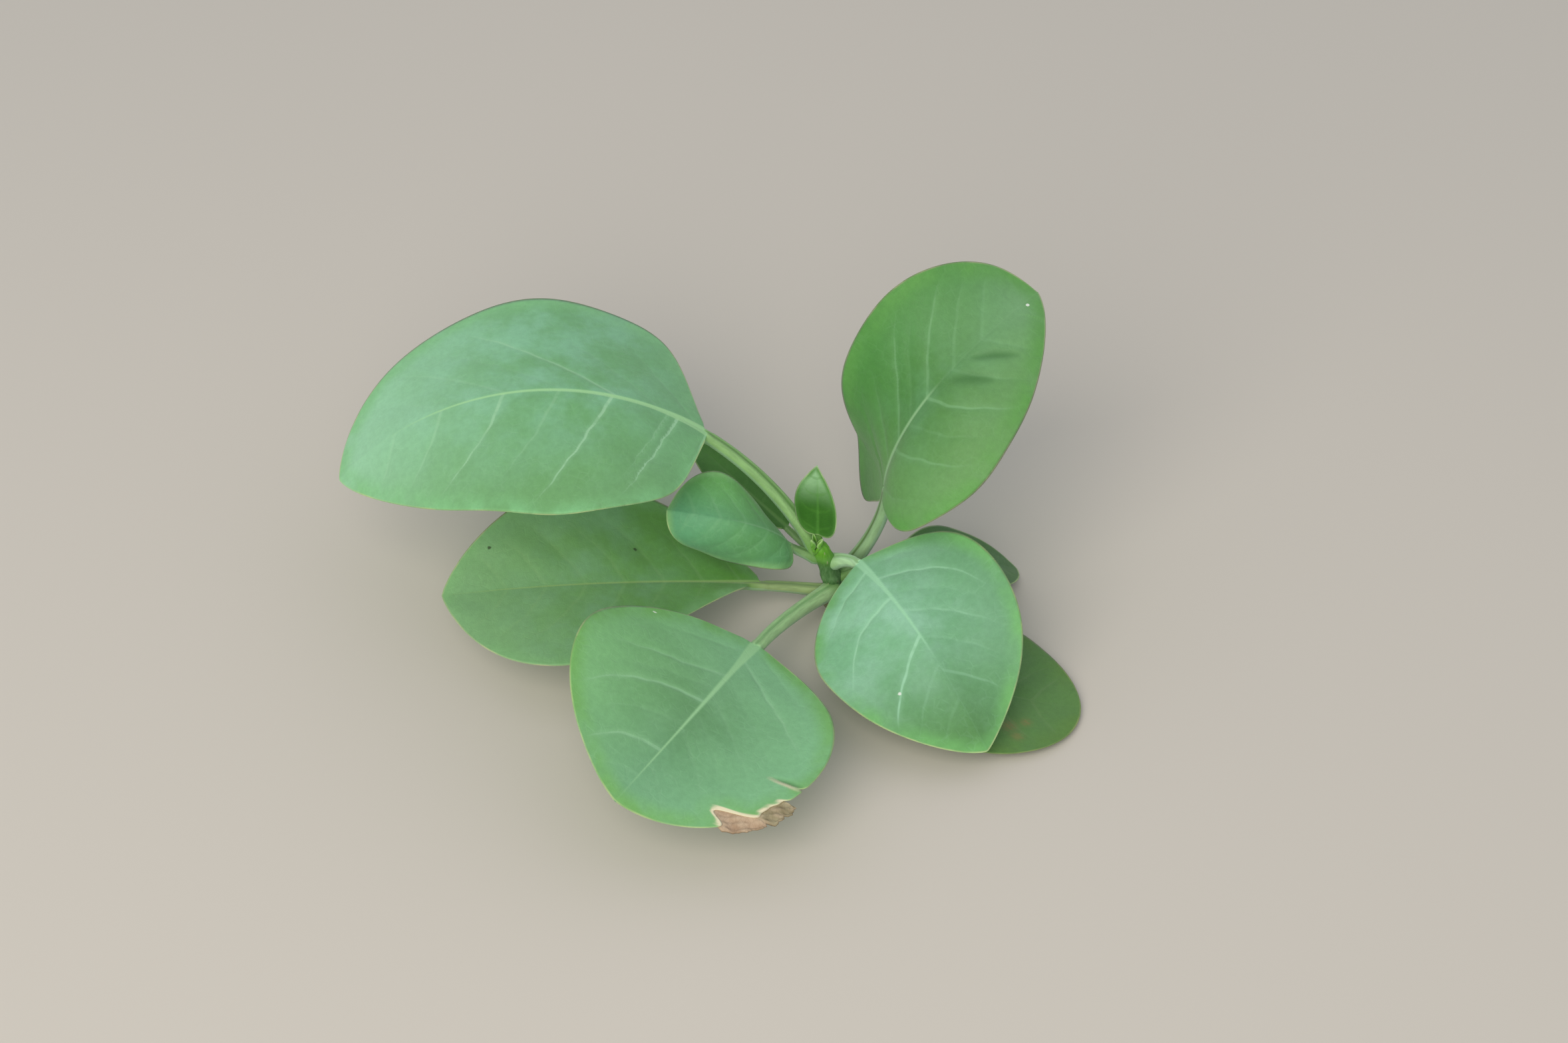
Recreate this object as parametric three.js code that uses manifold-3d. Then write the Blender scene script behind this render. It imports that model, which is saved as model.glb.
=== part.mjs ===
// A young tree tobacco plant: a short leaning stem with ten grey-green leaves on grooved stalks.
// Millimetres, +Z up. The origin is the middle of the flat cut under the stem, at ground level.
// A heading is the compass angle of a limb seen from above, counted anticlockwise from +X.
// A lift is its angle above the horizontal. All angles are in degrees.

import * as THREE from 'three';
import Module from 'manifold-3d';

const wasm = await Module();
wasm.setup();

// Driving dimensions

const CLEARANCE = 0.3; // between one piece and the next
const BLADE_THICKNESS = 0.011; // of the blade's length
const LEAST_THICKNESS = 0.65;
const RIB_DEPTH = 1.5; // under the blade's foot, over the stalk's radius
const RIB_WIDTH = 1.1; // half the rib's width at the blade's foot, over the stalk's radius
const RIB_SLIMMING = 1.3; // how fast the rib loses its depth towards the tip
const FOLD_SPREAD = 2.5; // a folded side keeps its full thickness from here on, beside the midrib
const STALK_SEAT = 0.7; // how far the stalk's axis lies under the blade's plane, over its radius
const STALK_SWELLING = 0.4; // extra thickness where a stalk leaves the stem
const SWELLING_LENGTH = 2.5;
const STALK_SINK = 1.5; // how far a stalk is drawn into the stem before it is cut to fit
const STALK_SIDES = 12;
const STALK_STEP = 2.4; // between the rings along a stalk
const GROOVE = 0.25; // depth of the groove along the top of a stalk, over its radius
const GROOVE_SHARPNESS = 6;
const LINE_STEPS = 96; // how finely the line of a limb is followed

const stem = {
	top: [ - 4.4, 0.3, 17.6 ], // the foot is at the origin
	lean: 1.4, // 1 leans evenly, more leans most near the top
	radius: [ 2.5, 1.9 ],
	flare: 0.9, // extra radius at ground level
	flareHeight: 1.6,
	dome: 1.5, // height of the rounded top
	domeFlatness: 0.15, // of the section's area that is left at the very top
	scarHeights: [ 4.5, 8, 13.5 ], // slight swellings under the leaves' feet
	scarSwelling: 0.25,
	scarLength: 0.9,
	sides: 20,
	rows: 22,
};

// Each margin holds what shapes one side's outline: how slowly it widens from the foot, how slowly
// it closes to the tip, how far an ear reaches back beside the stalk, and how long a slim neck runs
// on from the stalk. The last two are over the blade's length.
// The fold raises a side from the midrib, and the cup is what the margin turns on top of that.
const leaves = [
	{
		name: 'lower_right', foot: [ 2, - 1, 3.5 ],
		stalk: { length: 11, heading: [ - 80, - 53 ], lift: [ 2, 0 ], radius: [ 1.5, 1.1 ] },
		blade: { length: 54, width: 40, heading: [ - 53, - 2 ], lift: [ 0, - 5 ], roll: [ 3, - 3 ] },
		right: { fold: 0, cup: 3, margin: [ 0.58, 0.52, 0, 0 ] },
		left: { fold: 0, cup: - 2, margin: [ 0.58, 0.52, 0, 0 ] },
		wave: { height: 0.4, count: 2.2 },
	},
	{
		name: 'lower_left', foot: [ - 1, - 1.5, 5 ],
		stalk: { length: 16, heading: [ 180.5, 191 ], lift: [ 12, 13 ], radius: [ 1.6, 1.2 ] },
		blade: { length: 72, width: 50.5, heading: [ 191, 186.5 ], lift: [ 13, - 3 ], roll: [ - 14, 8 ] },
		right: { fold: 12, cup: 12, margin: [ 0.8, 0.78, 0, 0 ] },
		left: { fold: 3, cup: - 3, margin: [ 1.34, 0.76, 0, 0 ] },
		wave: { height: 0.5, count: 1.8 },
	},
	{
		name: 'front', foot: [ - 1, - 1.7, 6.2 ],
		stalk: { length: 31.5, heading: [ 225.5, 249 ], lift: [ 8, 19 ], radius: [ 1.9, 1.5 ] },
		blade: { length: 61, width: 60, heading: [ 249, 234 ], lift: [ 19, - 7 ], roll: [ 11, 22 ] },
		right: { fold: 8, cup: 2, margin: [ 0.74, 0.71, 0, 0.04 ] },
		left: { fold: - 12, cup: 23, margin: [ 0.74, 0.69, 0, 0.03 ] },
		wave: { height: 0.5, count: 2 },
		bites: [
			{ at: 0.8, halfLength: 0.045, depth: 0.25 },
			{ at: 0.7, halfLength: 0.05, depth: 0.04 },
		],
	},
	{
		name: 'back_right', foot: [ 1, 0.5, 8 ],
		stalk: { length: 13, heading: [ 15, 0 ], lift: [ 24, 0 ], radius: [ 1.2, 0.9 ] },
		blade: { length: 31, width: 22, heading: [ 0, 30 ], lift: [ 0, - 36 ], roll: [ 4, - 4 ] },
		right: { fold: 4, cup: 2, margin: [ 0.5, 0.7, 0, 0 ] },
		left: { fold: 4, cup: 2, margin: [ 0.5, 0.7, 0, 0 ] },
		wave: { height: 0.3, count: 1.5 },
		rows: 14,
	},
	{
		name: 'back_left', foot: [ - 3, 1.5, 11 ],
		stalk: { length: 11, heading: [ 140, 144 ], lift: [ 22, 24 ], radius: [ 1.1, 0.8 ] },
		blade: { length: 32, width: 12, heading: [ 144, 131 ], lift: [ 24, 10 ], roll: [ 0, 0 ] },
		right: { fold: 4, cup: 2, margin: [ 0.6, 0.7, 0, 0 ] },
		left: { fold: 4, cup: 2, margin: [ 0.6, 0.7, 0, 0 ] },
		wave: { height: 0.2, count: 1.5 },
		rows: 14,
	},
	{
		name: 'upper_right', foot: [ 1, 2, 8 ],
		stalk: { length: 24, heading: [ 21.5, 8 ], lift: [ 46, 87 ], radius: [ 1.8, 1.5 ] },
		blade: { length: 62, width: 45, heading: [ 8, 52 ], lift: [ 87, - 5 ], roll: [ 18, - 10 ] },
		right: { fold: - 5.5, cup: - 26.5, margin: [ 0.43, 0.8, 0.07, 0.04 ] },
		left: { fold: 12.5, cup: 18, margin: [ 0.42, 0.49, 0.31, 0.02 ] },
		wave: { height: 0.5, count: 2.1 },
		rows: 24,
	},
	{
		name: 'right', foot: [ - 1, 0, 13 ],
		stalk: { length: 7.5, heading: [ - 10, - 65 ], lift: [ 28, 18 ], radius: [ 1.5, 1.2 ] },
		blade: { length: 59, width: 46, heading: [ - 65, - 57 ], lift: [ 18, - 38 ], roll: [ - 17.5, 11 ] },
		right: { fold: - 15.5, cup: 1.5, margin: [ 0.61, 0.71, 0, 0.02 ] },
		left: { fold: - 6.5, cup: 23, margin: [ 0.6, 0.8, 0, 0 ] },
		wave: { height: 0.5, count: 2 },
	},
	{
		name: 'middle_left', foot: [ - 5, 0, 14 ],
		stalk: { length: 7.7, heading: [ 161, 221 ], lift: [ 16, 59 ], radius: [ 1.2, 0.9 ] },
		blade: { length: 33, width: 25, heading: [ 221, 152 ], lift: [ 59, - 16 ], roll: [ - 2, 8.5 ] },
		right: { fold: 7, cup: - 2, margin: [ 0.55, 0.3, 0.16, 0 ] },
		left: { fold: - 44, cup: - 44, margin: [ 0.55, 0.3, 0.16, 0 ] },
		wave: { height: 0.2, count: 1.6 },
		rows: 14,
	},
	{
		name: 'upper_left', foot: [ - 4, 1, 15 ],
		stalk: { length: 36.5, heading: [ 141, 174.5 ], lift: [ 51, 37 ], radius: [ 1.8, 1.5 ] },
		blade: { length: 91, width: 72.5, heading: [ 174.5, 194.5 ], lift: [ 37, - 48 ], roll: [ - 6, 9 ] },
		right: { fold: - 8, cup: 2.5, margin: [ 0.4, 0.71, 0, 0.06 ] },
		left: { fold: - 4, cup: - 2, margin: [ 0.43, 0.72, 0, 0.03 ] },
		wave: { height: 0.7, count: 2.3 },
		rows: 24,
	},
	{
		name: 'young', foot: [ - 4.5, - 0.5, 18 ],
		stalk: { length: 2, heading: [ 88, 88 ], lift: [ 75, 76 ], radius: [ 0.9, 0.8 ] },
		blade: { length: 18.6, width: 11.5, heading: [ 88, 106 ], lift: [ 76, 89 ], roll: [ 14, 4 ] },
		right: { fold: 32, cup: 5, margin: [ 0.4, 1.15, 0, 0 ] },
		left: { fold: 6, cup: - 26, margin: [ 0.36, 0.74, 0, 0 ] },
		wave: { height: 0, count: 1 },
		rows: 12,
	},
];

const BLADE_ROWS = 20; // along a blade, where its leaf doesn't say
const BLADE_COLUMNS = 5; // on each side of the midrib
const EAR_LENGTH = 0.09; // how far along the blade an ear is drawn, over its length
const NECK_SHARPNESS = 1.5;
const RIB_LEFT = 0.25; // of the rib's width at the foot, at the tip
const SMOOTHED = 0.01; // the finest detail of a blade that a cut may leave

const bud = {
	foot: [ - 5.2, - 1.6, 17.0 ],
	height: 4.2,
	heading: 235,
	lift: 74,
	radius: 1.15,
	sides: 10,
	rows: 9,
	core: 0.12, // a least radius, over the bud's radius
	shape: [ 1.6, 0.25, 0.6, 0.9 ], // fullness, start, and how slowly it widens and closes
};

// The brown, withered strip along the bitten margin of the front leaf.
const dryEdge = {
	leaf: 'front',
	from: 0.665, // where it starts and ends along the blade
	to: 0.845,
	overlap: 0.02, // how far its ends reach past the whole leaf's outline, over the half-width there
	reach: 0.1, // how far its middle reaches further than that
	taper: 0.1, // how much of the swelling towards the middle is left out at either end
	droop: 1.4, // how far its outer edge hangs under the blade
	step: 0.0125, // between its rows, over the blade's length
	columns: 3,
};

// Materials

const colours = {
	stem: 0x4c6a30,
	stalk: 0x7aa065,
	blade: 0x7cab7f,
	young: 0x467a33,
	dry: 0xa08a68,
};

function material( colour, roughness ) {

	return new THREE.MeshStandardMaterial( { color: colour, roughness, metalness: 0 } );

}

// Small helpers

const rad = THREE.MathUtils.degToRad;
const clamp = THREE.MathUtils.clamp;

function between( [ start, end ], u ) {

	return THREE.MathUtils.lerp( start, end, u );

}

function direction( heading, lift ) {

	const h = rad( heading );
	const t = rad( lift );
	return new THREE.Vector3( Math.cos( t ) * Math.cos( h ), Math.cos( t ) * Math.sin( h ), Math.sin( t ) );

}

// The frame of a limb: along it, to its right-hand side, and up from it, turned by its roll.
function limbFrame( limb, u ) {

	const heading = between( limb.heading, u );
	const along = direction( heading, between( limb.lift, u ) );
	const level = new THREE.Vector3( Math.sin( rad( heading ) ), - Math.cos( rad( heading ) ), 0 );
	const above = new THREE.Vector3().crossVectors( level, along );
	const roll = rad( limb.roll ? between( limb.roll, u ) : 0 );
	const side = level.clone().multiplyScalar( Math.cos( roll ) ).addScaledVector( above, Math.sin( roll ) );
	const up = above.multiplyScalar( Math.cos( roll ) ).addScaledVector( level, - Math.sin( roll ) );
	return { along, side, up };

}

// The line of a limb that starts at a point and turns evenly between its two headings and lifts.
function limbLine( start, limb ) {

	const points = [ start.clone() ];
	for ( let i = 0; i < LINE_STEPS; i ++ ) {

		const { along } = limbFrame( limb, ( i + 0.5 ) / LINE_STEPS );
		const step = along.multiplyScalar( limb.length / LINE_STEPS );
		points.push( points[ i ].clone().add( step ) );

	}

	return points;

}

function pointOn( line, u ) {

	const place = clamp( u, 0, 1 ) * ( line.length - 1 );
	const before = Math.min( Math.floor( place ), line.length - 2 );
	return line[ before ].clone().lerp( line[ before + 1 ], place - before );

}

// Gathers vertices and outward triangles of one closed body. A point that is there already keeps
// its number, so that rows may close to a point.
class Body {

	constructor() {

		this.vertices = [];
		this.triangles = [];
		this.known = new Map();

	}

	add( point ) {

		const key = point.toArray().map( ( value ) => value.toFixed( 4 ) ).join( ' ' );
		if ( ! this.known.has( key ) ) {

			this.known.set( key, this.vertices.length / 3 );
			this.vertices.push( point.x, point.y, point.z );

		}

		return this.known.get( key );

	}

	triangle( a, b, c ) {

		if ( a !== b && b !== c && c !== a ) this.triangles.push( a, b, c );

	}

	quad( a, b, c, d ) {

		this.triangle( a, b, c );
		this.triangle( a, c, d );

	}

	geometry() {

		const geometry = new THREE.BufferGeometry();
		geometry.setAttribute( 'position', new THREE.Float32BufferAttribute( this.vertices, 3 ) );
		geometry.setIndex( this.triangles );
		geometry.computeVertexNormals();
		return geometry;

	}

	solid() {

		return new wasm.Manifold( new wasm.Mesh( {
			numProp: 3,
			vertProperties: new Float32Array( this.vertices ),
			triVerts: new Uint32Array( this.triangles ),
		} ) );

	}

}

function solidGeometry( solid ) {

	const mesh = solid.getMesh();
	const geometry = new THREE.BufferGeometry();
	geometry.setAttribute( 'position', new THREE.Float32BufferAttribute( mesh.vertProperties, 3 ) );
	geometry.setIndex( Array.from( mesh.triVerts ) );
	geometry.computeVertexNormals();
	return geometry;

}

// A closed body through rings of points, which run clockwise seen from its far end.
function loft( rings ) {

	const body = new Body();
	const numbers = rings.map( ( ring ) => ring.map( ( point ) => body.add( point ) ) );
	for ( let i = 0; i < rings.length - 1; i ++ ) {

		for ( let k = 0; k < rings[ i ].length; k ++ ) {

			const next = ( k + 1 ) % rings[ i ].length;
			body.quad( numbers[ i ][ k ], numbers[ i + 1 ][ k ], numbers[ i + 1 ][ next ], numbers[ i ][ next ] );

		}

	}

	const closeEnd = ( ring, names, turned ) => {

		const middle = ring.reduce( ( sum, point ) => sum.add( point ), new THREE.Vector3() );
		const centre = body.add( middle.divideScalar( ring.length ) );
		names.forEach( ( name, k ) => {

			const next = names[ ( k + 1 ) % names.length ];
			if ( turned ) body.triangle( centre, next, name );
			else body.triangle( centre, name, next );

		} );

	};

	closeEnd( rings[ 0 ], numbers[ 0 ], false );
	closeEnd( rings.at( - 1 ), numbers.at( - 1 ), true );
	return body;

}

function ring( centre, side, up, radius, sides, shape = () => 1 ) {

	return Array.from( { length: sides }, ( _, k ) => {

		const angle = 2 * Math.PI * k / sides;
		const r = radius * shape( angle );
		return centre.clone()
			.addScaledVector( side, r * Math.cos( angle ) )
			.addScaledVector( up, r * Math.sin( angle ) );

	} );

}

// The stem: level rings, so that its foot is a flat cut at ground level.
function stemBody( extra = 0 ) {

	const rings = [];
	const [ topX, topY, height ] = stem.top;
	for ( let i = 0; i <= stem.rows; i ++ ) {

		const z = height * i / stem.rows;
		const leaning = Math.pow( z / height, stem.lean );
		let radius = between( stem.radius, z / height ) + stem.flare * Math.exp( - z / stem.flareHeight );
		for ( const scar of stem.scarHeights ) {

			radius += stem.scarSwelling * Math.exp( - Math.pow( ( z - scar ) / stem.scarLength, 2 ) );

		}

		const intoDome = Math.max( 0, z - height + stem.dome ) / stem.dome;
		radius *= Math.sqrt( 1 - ( 1 - stem.domeFlatness ) * intoDome * intoDome );
		const centre = new THREE.Vector3( topX * leaning, topY * leaning, z );
		const across = new THREE.Vector3( 1, 0, 0 );
		const away = new THREE.Vector3( 0, - 1, 0 );
		rings.push( ring( centre, across, away, radius + extra, stem.sides ) );

	}

	if ( extra > 0 ) {

		const raised = rings.at( - 1 ).map( ( point ) => point.clone().setZ( height + extra ) );
		rings.push( raised );

	}

	return loft( rings );

}

// A leaf's stalk: a tapering limb with a groove along its top and a swollen foot.
function stalkBody( leaf, extra = 0 ) {

	const { length, radius } = leaf.stalk;
	const rows = Math.max( 6, Math.round( length / STALK_STEP ) );
	const line = limbLine( new THREE.Vector3( ...leaf.foot ), leaf.stalk );
	const seat = STALK_SEAT * radius[ 1 ];
	const grooved = ( angle ) => 1 - GROOVE * Math.max( 0, Math.sin( angle ) ) ** GROOVE_SHARPNESS;
	const rings = [];
	for ( let i = - 1; i <= rows; i ++ ) {

		const u = Math.max( 0, i / rows );
		const { along, side, up } = limbFrame( leaf.stalk, u );
		const centre = pointOn( line, u ).addScaledVector( up, - seat );
		if ( i < 0 ) centre.addScaledVector( along, - STALK_SINK );
		const swelling = 1 + STALK_SWELLING * Math.exp( - u * length / SWELLING_LENGTH );
		const girth = between( radius, u ) * swelling + extra;
		rings.push( ring( centre, side, up, girth, STALK_SIDES, grooved ) );

	}

	return loft( rings );

}

function margin( leaf, hand, s ) {

	const [ foot, tip, ear, neck ] = hand.margin;
	const widest = foot / ( foot + tip );
	const fullest = widest ** foot * ( 1 - widest ) ** tip;
	const swept = ear * ( s / EAR_LENGTH ) * Math.exp( 1 - s / EAR_LENGTH );
	const slimmed = neck > 0 ? 1 - Math.exp( - ( ( s / neck ) ** NECK_SHARPNESS ) ) : 1;
	const width = leaf.blade.width / 2 * s ** foot * ( 1 - s ) ** tip / fullest * slimmed;
	return { width, place: s - swept };

}

// What has been bitten out of the left margin, over the half-width.
function bitten( leaf, s ) {

	let depth = 0;
	for ( const bite of leaf.bites ?? [] ) {

		const off = clamp( ( s - bite.at ) / bite.halfLength, - 1, 1 );
		depth = Math.max( depth, bite.depth * Math.cos( Math.PI / 2 * off ) ** 2 );

	}

	return depth;

}

// A point on top of a blade and the direction up from it. The row s runs from 0 at the foot to 1
// at the tip, and across runs from -1 at the left margin to 1 at the right one.
function bladePoint( leaf, s, across ) {

	const { blade } = leaf;
	const hand = across < 0 ? leaf.left : leaf.right;
	const { width, place } = margin( leaf, hand, s );
	const share = Math.abs( across );
	const y = s + share * ( place - s );
	const { along, side, up } = limbFrame( blade, clamp( y, 0, 1 ) );
	const fromMidrib = share * width;
	const outward = fromMidrib / ( blade.width / 2 );
	const turn = rad( hand.fold + hand.cup * outward );
	const slope = rad( hand.fold + 2 * hand.cup * outward ) * Math.min( 1, fromMidrib / FOLD_SPREAD );
	const sign = Math.sign( across );
	const phase = 2 * Math.PI * leaf.wave.count * y + sign;
	const raised = leaf.wave.height * outward * outward * Math.sin( phase );
	const point = pointOn( leaf.midrib, y )
		.addScaledVector( along, ( y - clamp( y, 0, 1 ) ) * blade.length )
		.addScaledVector( side, sign * fromMidrib * Math.cos( turn ) )
		.addScaledVector( up, fromMidrib * Math.sin( turn ) + raised );
	const normal = up.clone();
	if ( sign !== 0 ) {

		normal.multiplyScalar( Math.cos( slope ) ).addScaledVector( side, - sign * Math.sin( slope ) );

	}

	return { point, normal };

}

// A closed thin body between two grids of points of the same size, the upper one and the lower one.
function sheetBody( upper, lower ) {

	const body = new Body();
	const number = ( grid ) => grid.map( ( row ) => row.map( ( point ) => body.add( point ) ) );
	const top = number( upper );
	const bottom = number( lower );
	const rows = upper.length - 1;
	const last = upper[ 0 ].length - 1;
	for ( let i = 0; i < rows; i ++ ) {

		for ( let j = 0; j < last; j ++ ) {

			body.quad( top[ i ][ j ], top[ i ][ j + 1 ], top[ i + 1 ][ j + 1 ], top[ i + 1 ][ j ] );
			body.quad( bottom[ i ][ j ], bottom[ i + 1 ][ j ], bottom[ i + 1 ][ j + 1 ], bottom[ i ][ j + 1 ] );

		}

		body.quad( top[ i ][ last ], bottom[ i ][ last ], bottom[ i + 1 ][ last ], top[ i + 1 ][ last ] );
		body.quad( top[ i ][ 0 ], top[ i + 1 ][ 0 ], bottom[ i + 1 ][ 0 ], bottom[ i ][ 0 ] );

	}

	for ( let j = 0; j < last; j ++ ) {

		body.quad( top[ 0 ][ j ], bottom[ 0 ][ j ], bottom[ 0 ][ j + 1 ], top[ 0 ][ j + 1 ] );
		body.quad( top[ rows ][ j ], top[ rows ][ j + 1 ], bottom[ rows ][ j + 1 ], bottom[ rows ][ j ] );

	}

	return body;

}

// Where a blade's rows lie along it: closer together at both ends, and close all along the dry edge.
function rowPlaces( leaf ) {

	const rows = leaf.rows ?? BLADE_ROWS;
	const first = CLEARANCE / leaf.blade.length;
	const places = [];
	for ( let i = 0; i <= rows; i ++ ) {

		const eased = ( 1 - Math.cos( Math.PI * i / rows ) ) / 2;
		const s = THREE.MathUtils.lerp( first, 1, eased );
		const inDryEdge = leaf.bites && s > dryEdge.from - dryEdge.step && s < dryEdge.to + dryEdge.step;
		if ( ! inDryEdge ) places.push( s );

	}

	return leaf.bites ? places.concat( dryPlaces() ).sort( ( a, b ) => a - b ) : places;

}

function dryPlaces() {

	const count = Math.round( ( dryEdge.to - dryEdge.from ) / dryEdge.step );
	return Array.from( { length: count + 1 }, ( _, i ) => between( [ dryEdge.from, dryEdge.to ], i / count ) );

}

// A leaf's blade: a thin body whose rib under the midrib grows out of the stalk. Its last row is one
// point above and one below, at the tip.
function bladeBody( leaf ) {

	const { blade } = leaf;
	const thickness = Math.max( LEAST_THICKNESS, BLADE_THICKNESS * blade.length );
	const footRadius = leaf.stalk.radius[ 1 ];
	const upper = [];
	const lower = [];
	for ( const s of rowPlaces( leaf ) ) {

		const slim = ( 1 - s ) ** RIB_SLIMMING;
		const ribEdge = RIB_WIDTH * footRadius * ( RIB_LEFT + ( 1 - RIB_LEFT ) * slim );
		const above = [];
		const below = [];
		upper.push( above );
		lower.push( below );
		for ( let j = - BLADE_COLUMNS; j <= BLADE_COLUMNS; j ++ ) {

			const hand = j < 0 ? leaf.left : leaf.right;
			const { width } = margin( leaf, hand, s );
			const rib = Math.min( ribEdge / Math.max( width, ribEdge ), 1 / BLADE_COLUMNS );
			const share = j === 0 ? 0 : THREE.MathUtils.lerp( rib, 1, ( Math.abs( j ) - 1 ) / ( BLADE_COLUMNS - 1 ) );
			const kept = j < 0 ? 1 - bitten( leaf, s ) : 1;
			const { point, normal } = bladePoint( leaf, s, Math.sign( j ) * share * kept );
			const ribDepth = j === 0 ? slim * ( RIB_DEPTH * footRadius - thickness / 2 ) : 0;
			above.push( point );
			below.push( point.clone().addScaledVector( normal, - thickness - ribDepth ) );

		}

	}

	return sheetBody( upper, lower );

}

// The withered strip, which follows the blade's surface from the bitten edge outwards.
function dryEdgeBody( leaf ) {

	const upper = [];
	const lower = [];
	const nearby = CLEARANCE / leaf.blade.length;
	for ( const s of dryPlaces() ) {

		const u = ( s - dryEdge.from ) / ( dryEdge.to - dryEdge.from );
		const { width } = margin( leaf, leaf.left, s );
		const depth = Math.min( bitten( leaf, s - nearby ), bitten( leaf, s ), bitten( leaf, s + nearby ) );
		const inner = 1 - depth + CLEARANCE / width;
		const swelling = Math.sin( Math.PI * between( [ dryEdge.taper, 1 - dryEdge.taper ], u ) );
		const outer = 1 + dryEdge.overlap + dryEdge.reach * swelling;
		const above = [];
		const below = [];
		for ( let j = 0; j <= dryEdge.columns; j ++ ) {

			const out = 1 - j / dryEdge.columns;
			const { point, normal } = bladePoint( leaf, s, - THREE.MathUtils.lerp( inner, outer, out ) );
			point.addScaledVector( normal, - dryEdge.droop * out * out );
			above.push( point );
			below.push( point.clone().addScaledVector( normal, - LEAST_THICKNESS ) );

		}

		upper.push( above );
		lower.push( below );

	}

	return sheetBody( upper, lower );

}

// The folded bud at the stem's top.
function budBody() {

	const rings = [];
	const [ fullness, start, widening, closing ] = bud.shape;
	const along = direction( bud.heading, bud.lift );
	const side = new THREE.Vector3( Math.sin( rad( bud.heading ) ), - Math.cos( rad( bud.heading ) ), 0 );
	const up = new THREE.Vector3().crossVectors( side, along );
	for ( let i = 0; i <= bud.rows; i ++ ) {

		const u = i / bud.rows;
		const centre = new THREE.Vector3( ...bud.foot ).addScaledVector( along, u * bud.height );
		const full = fullness * ( u + start ) ** widening * ( 1 - u ) ** closing;
		rings.push( ring( centre, side, up, bud.radius * ( bud.core + full ), bud.sides ) );

	}

	return loft( rings );

}

// Assembly

const plant = new THREE.Group();

function place( name, geometry, surface ) {

	const mesh = new THREE.Mesh( geometry, surface );
	mesh.name = name;
	plant.add( mesh );

}

place( 'stem', stemBody().geometry(), material( colours.stem, 0.6 ) );

// Each stalk is cut to fit the stem and the stalks under it, and each blade to fit all stalks, with
// the clearance left between them.
let taken = stemBody( CLEARANCE ).solid();
for ( const leaf of leaves ) {

	const fitted = stalkBody( leaf ).solid().subtract( taken );
	place( leaf.name + '_stalk', solidGeometry( fitted ), material( colours.stalk, 0.6 ) );
	taken = taken.add( stalkBody( leaf, CLEARANCE ).solid() );

}

for ( const leaf of leaves ) {

	const foot = new THREE.Vector3( ...leaf.foot );
	leaf.midrib = limbLine( limbLine( foot, leaf.stalk ).at( - 1 ), leaf.blade );
	const fitted = bladeBody( leaf ).solid().subtract( taken ).simplify( SMOOTHED );
	const colour = leaf.name === 'young' ? colours.young : colours.blade;
	place( leaf.name + '_blade', solidGeometry( fitted ), material( colour, 0.5 ) );

}

const bittenLeaf = leaves.find( ( leaf ) => leaf.name === dryEdge.leaf );
place( dryEdge.leaf + '_dry_edge', dryEdgeBody( bittenLeaf ).geometry(), material( colours.dry, 0.8 ) );
place( 'bud', solidGeometry( budBody().solid().subtract( taken ) ), material( colours.young, 0.5 ) );

export default plant;
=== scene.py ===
# %% [markdown]
# # A young tree tobacco plant
# This is a seedling of the shrub Nicotiana glauca: ten leaves on grooved stalks, spread round a
# stem that is shorter than the top joint of a thumb. The solid model already holds the stem and
# every stalk and leaf at its real size. This lesson dresses it: each part gets a finer skin, and
# each skin gets the colours and the texture of the living surface.

# %% Load the solid model
import math

import bpy
import numpy as np
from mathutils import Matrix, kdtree


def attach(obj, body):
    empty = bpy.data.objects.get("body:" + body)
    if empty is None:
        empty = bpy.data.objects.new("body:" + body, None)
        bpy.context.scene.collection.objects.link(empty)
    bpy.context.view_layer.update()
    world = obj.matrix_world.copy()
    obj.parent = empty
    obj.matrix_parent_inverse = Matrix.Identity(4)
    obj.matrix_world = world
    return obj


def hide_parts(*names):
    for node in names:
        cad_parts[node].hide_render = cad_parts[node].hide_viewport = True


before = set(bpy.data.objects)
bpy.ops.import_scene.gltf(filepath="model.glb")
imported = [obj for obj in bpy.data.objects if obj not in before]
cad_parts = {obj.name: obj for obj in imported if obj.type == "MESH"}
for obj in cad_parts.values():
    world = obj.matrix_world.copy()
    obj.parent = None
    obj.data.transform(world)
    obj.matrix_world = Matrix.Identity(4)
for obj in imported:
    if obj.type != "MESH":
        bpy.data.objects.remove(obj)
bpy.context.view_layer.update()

MM = 0.001  # the shapes below are worked out in millimetres, and Blender's unit is the metre
print("solids loaded:", len(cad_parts))

# %% [markdown]
# ## The camera
# The plant was seen from the front and well above, at about 42 degrees, from a little over two
# feet away. A camera could be placed by eye and nudged until it fits. It is surer to name the
# angle, the distance and the place of the stem's foot in the picture, and work its place out.

# %% Set up the camera
IMAGE_WIDTH, IMAGE_HEIGHT = 2357, 1568  # pixels
LENS, SENSOR = 70, 36  # mm, the focal length and the sensor's width
LOOKING_DOWN = 42  # degrees
DISTANCE = 690  # mm, from the lens to the stem's foot
FOOT_PIXEL = 1258, 903  # the foot's place in the picture, from its left and top


def camera_place():
    tilt = math.radians(LOOKING_DOWN)
    forward = np.array([0, math.cos(tilt), -math.sin(tilt)])
    upward = np.array([0, math.sin(tilt), math.cos(tilt)])
    sideways = np.array([1, 0, 0])
    pixel = DISTANCE * SENSOR / LENS / IMAGE_WIDTH
    right_of_centre = (FOOT_PIXEL[0] - IMAGE_WIDTH / 2) * pixel
    under_centre = (FOOT_PIXEL[1] - IMAGE_HEIGHT / 2) * pixel
    return upward * under_centre - sideways * right_of_centre - forward * DISTANCE


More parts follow.
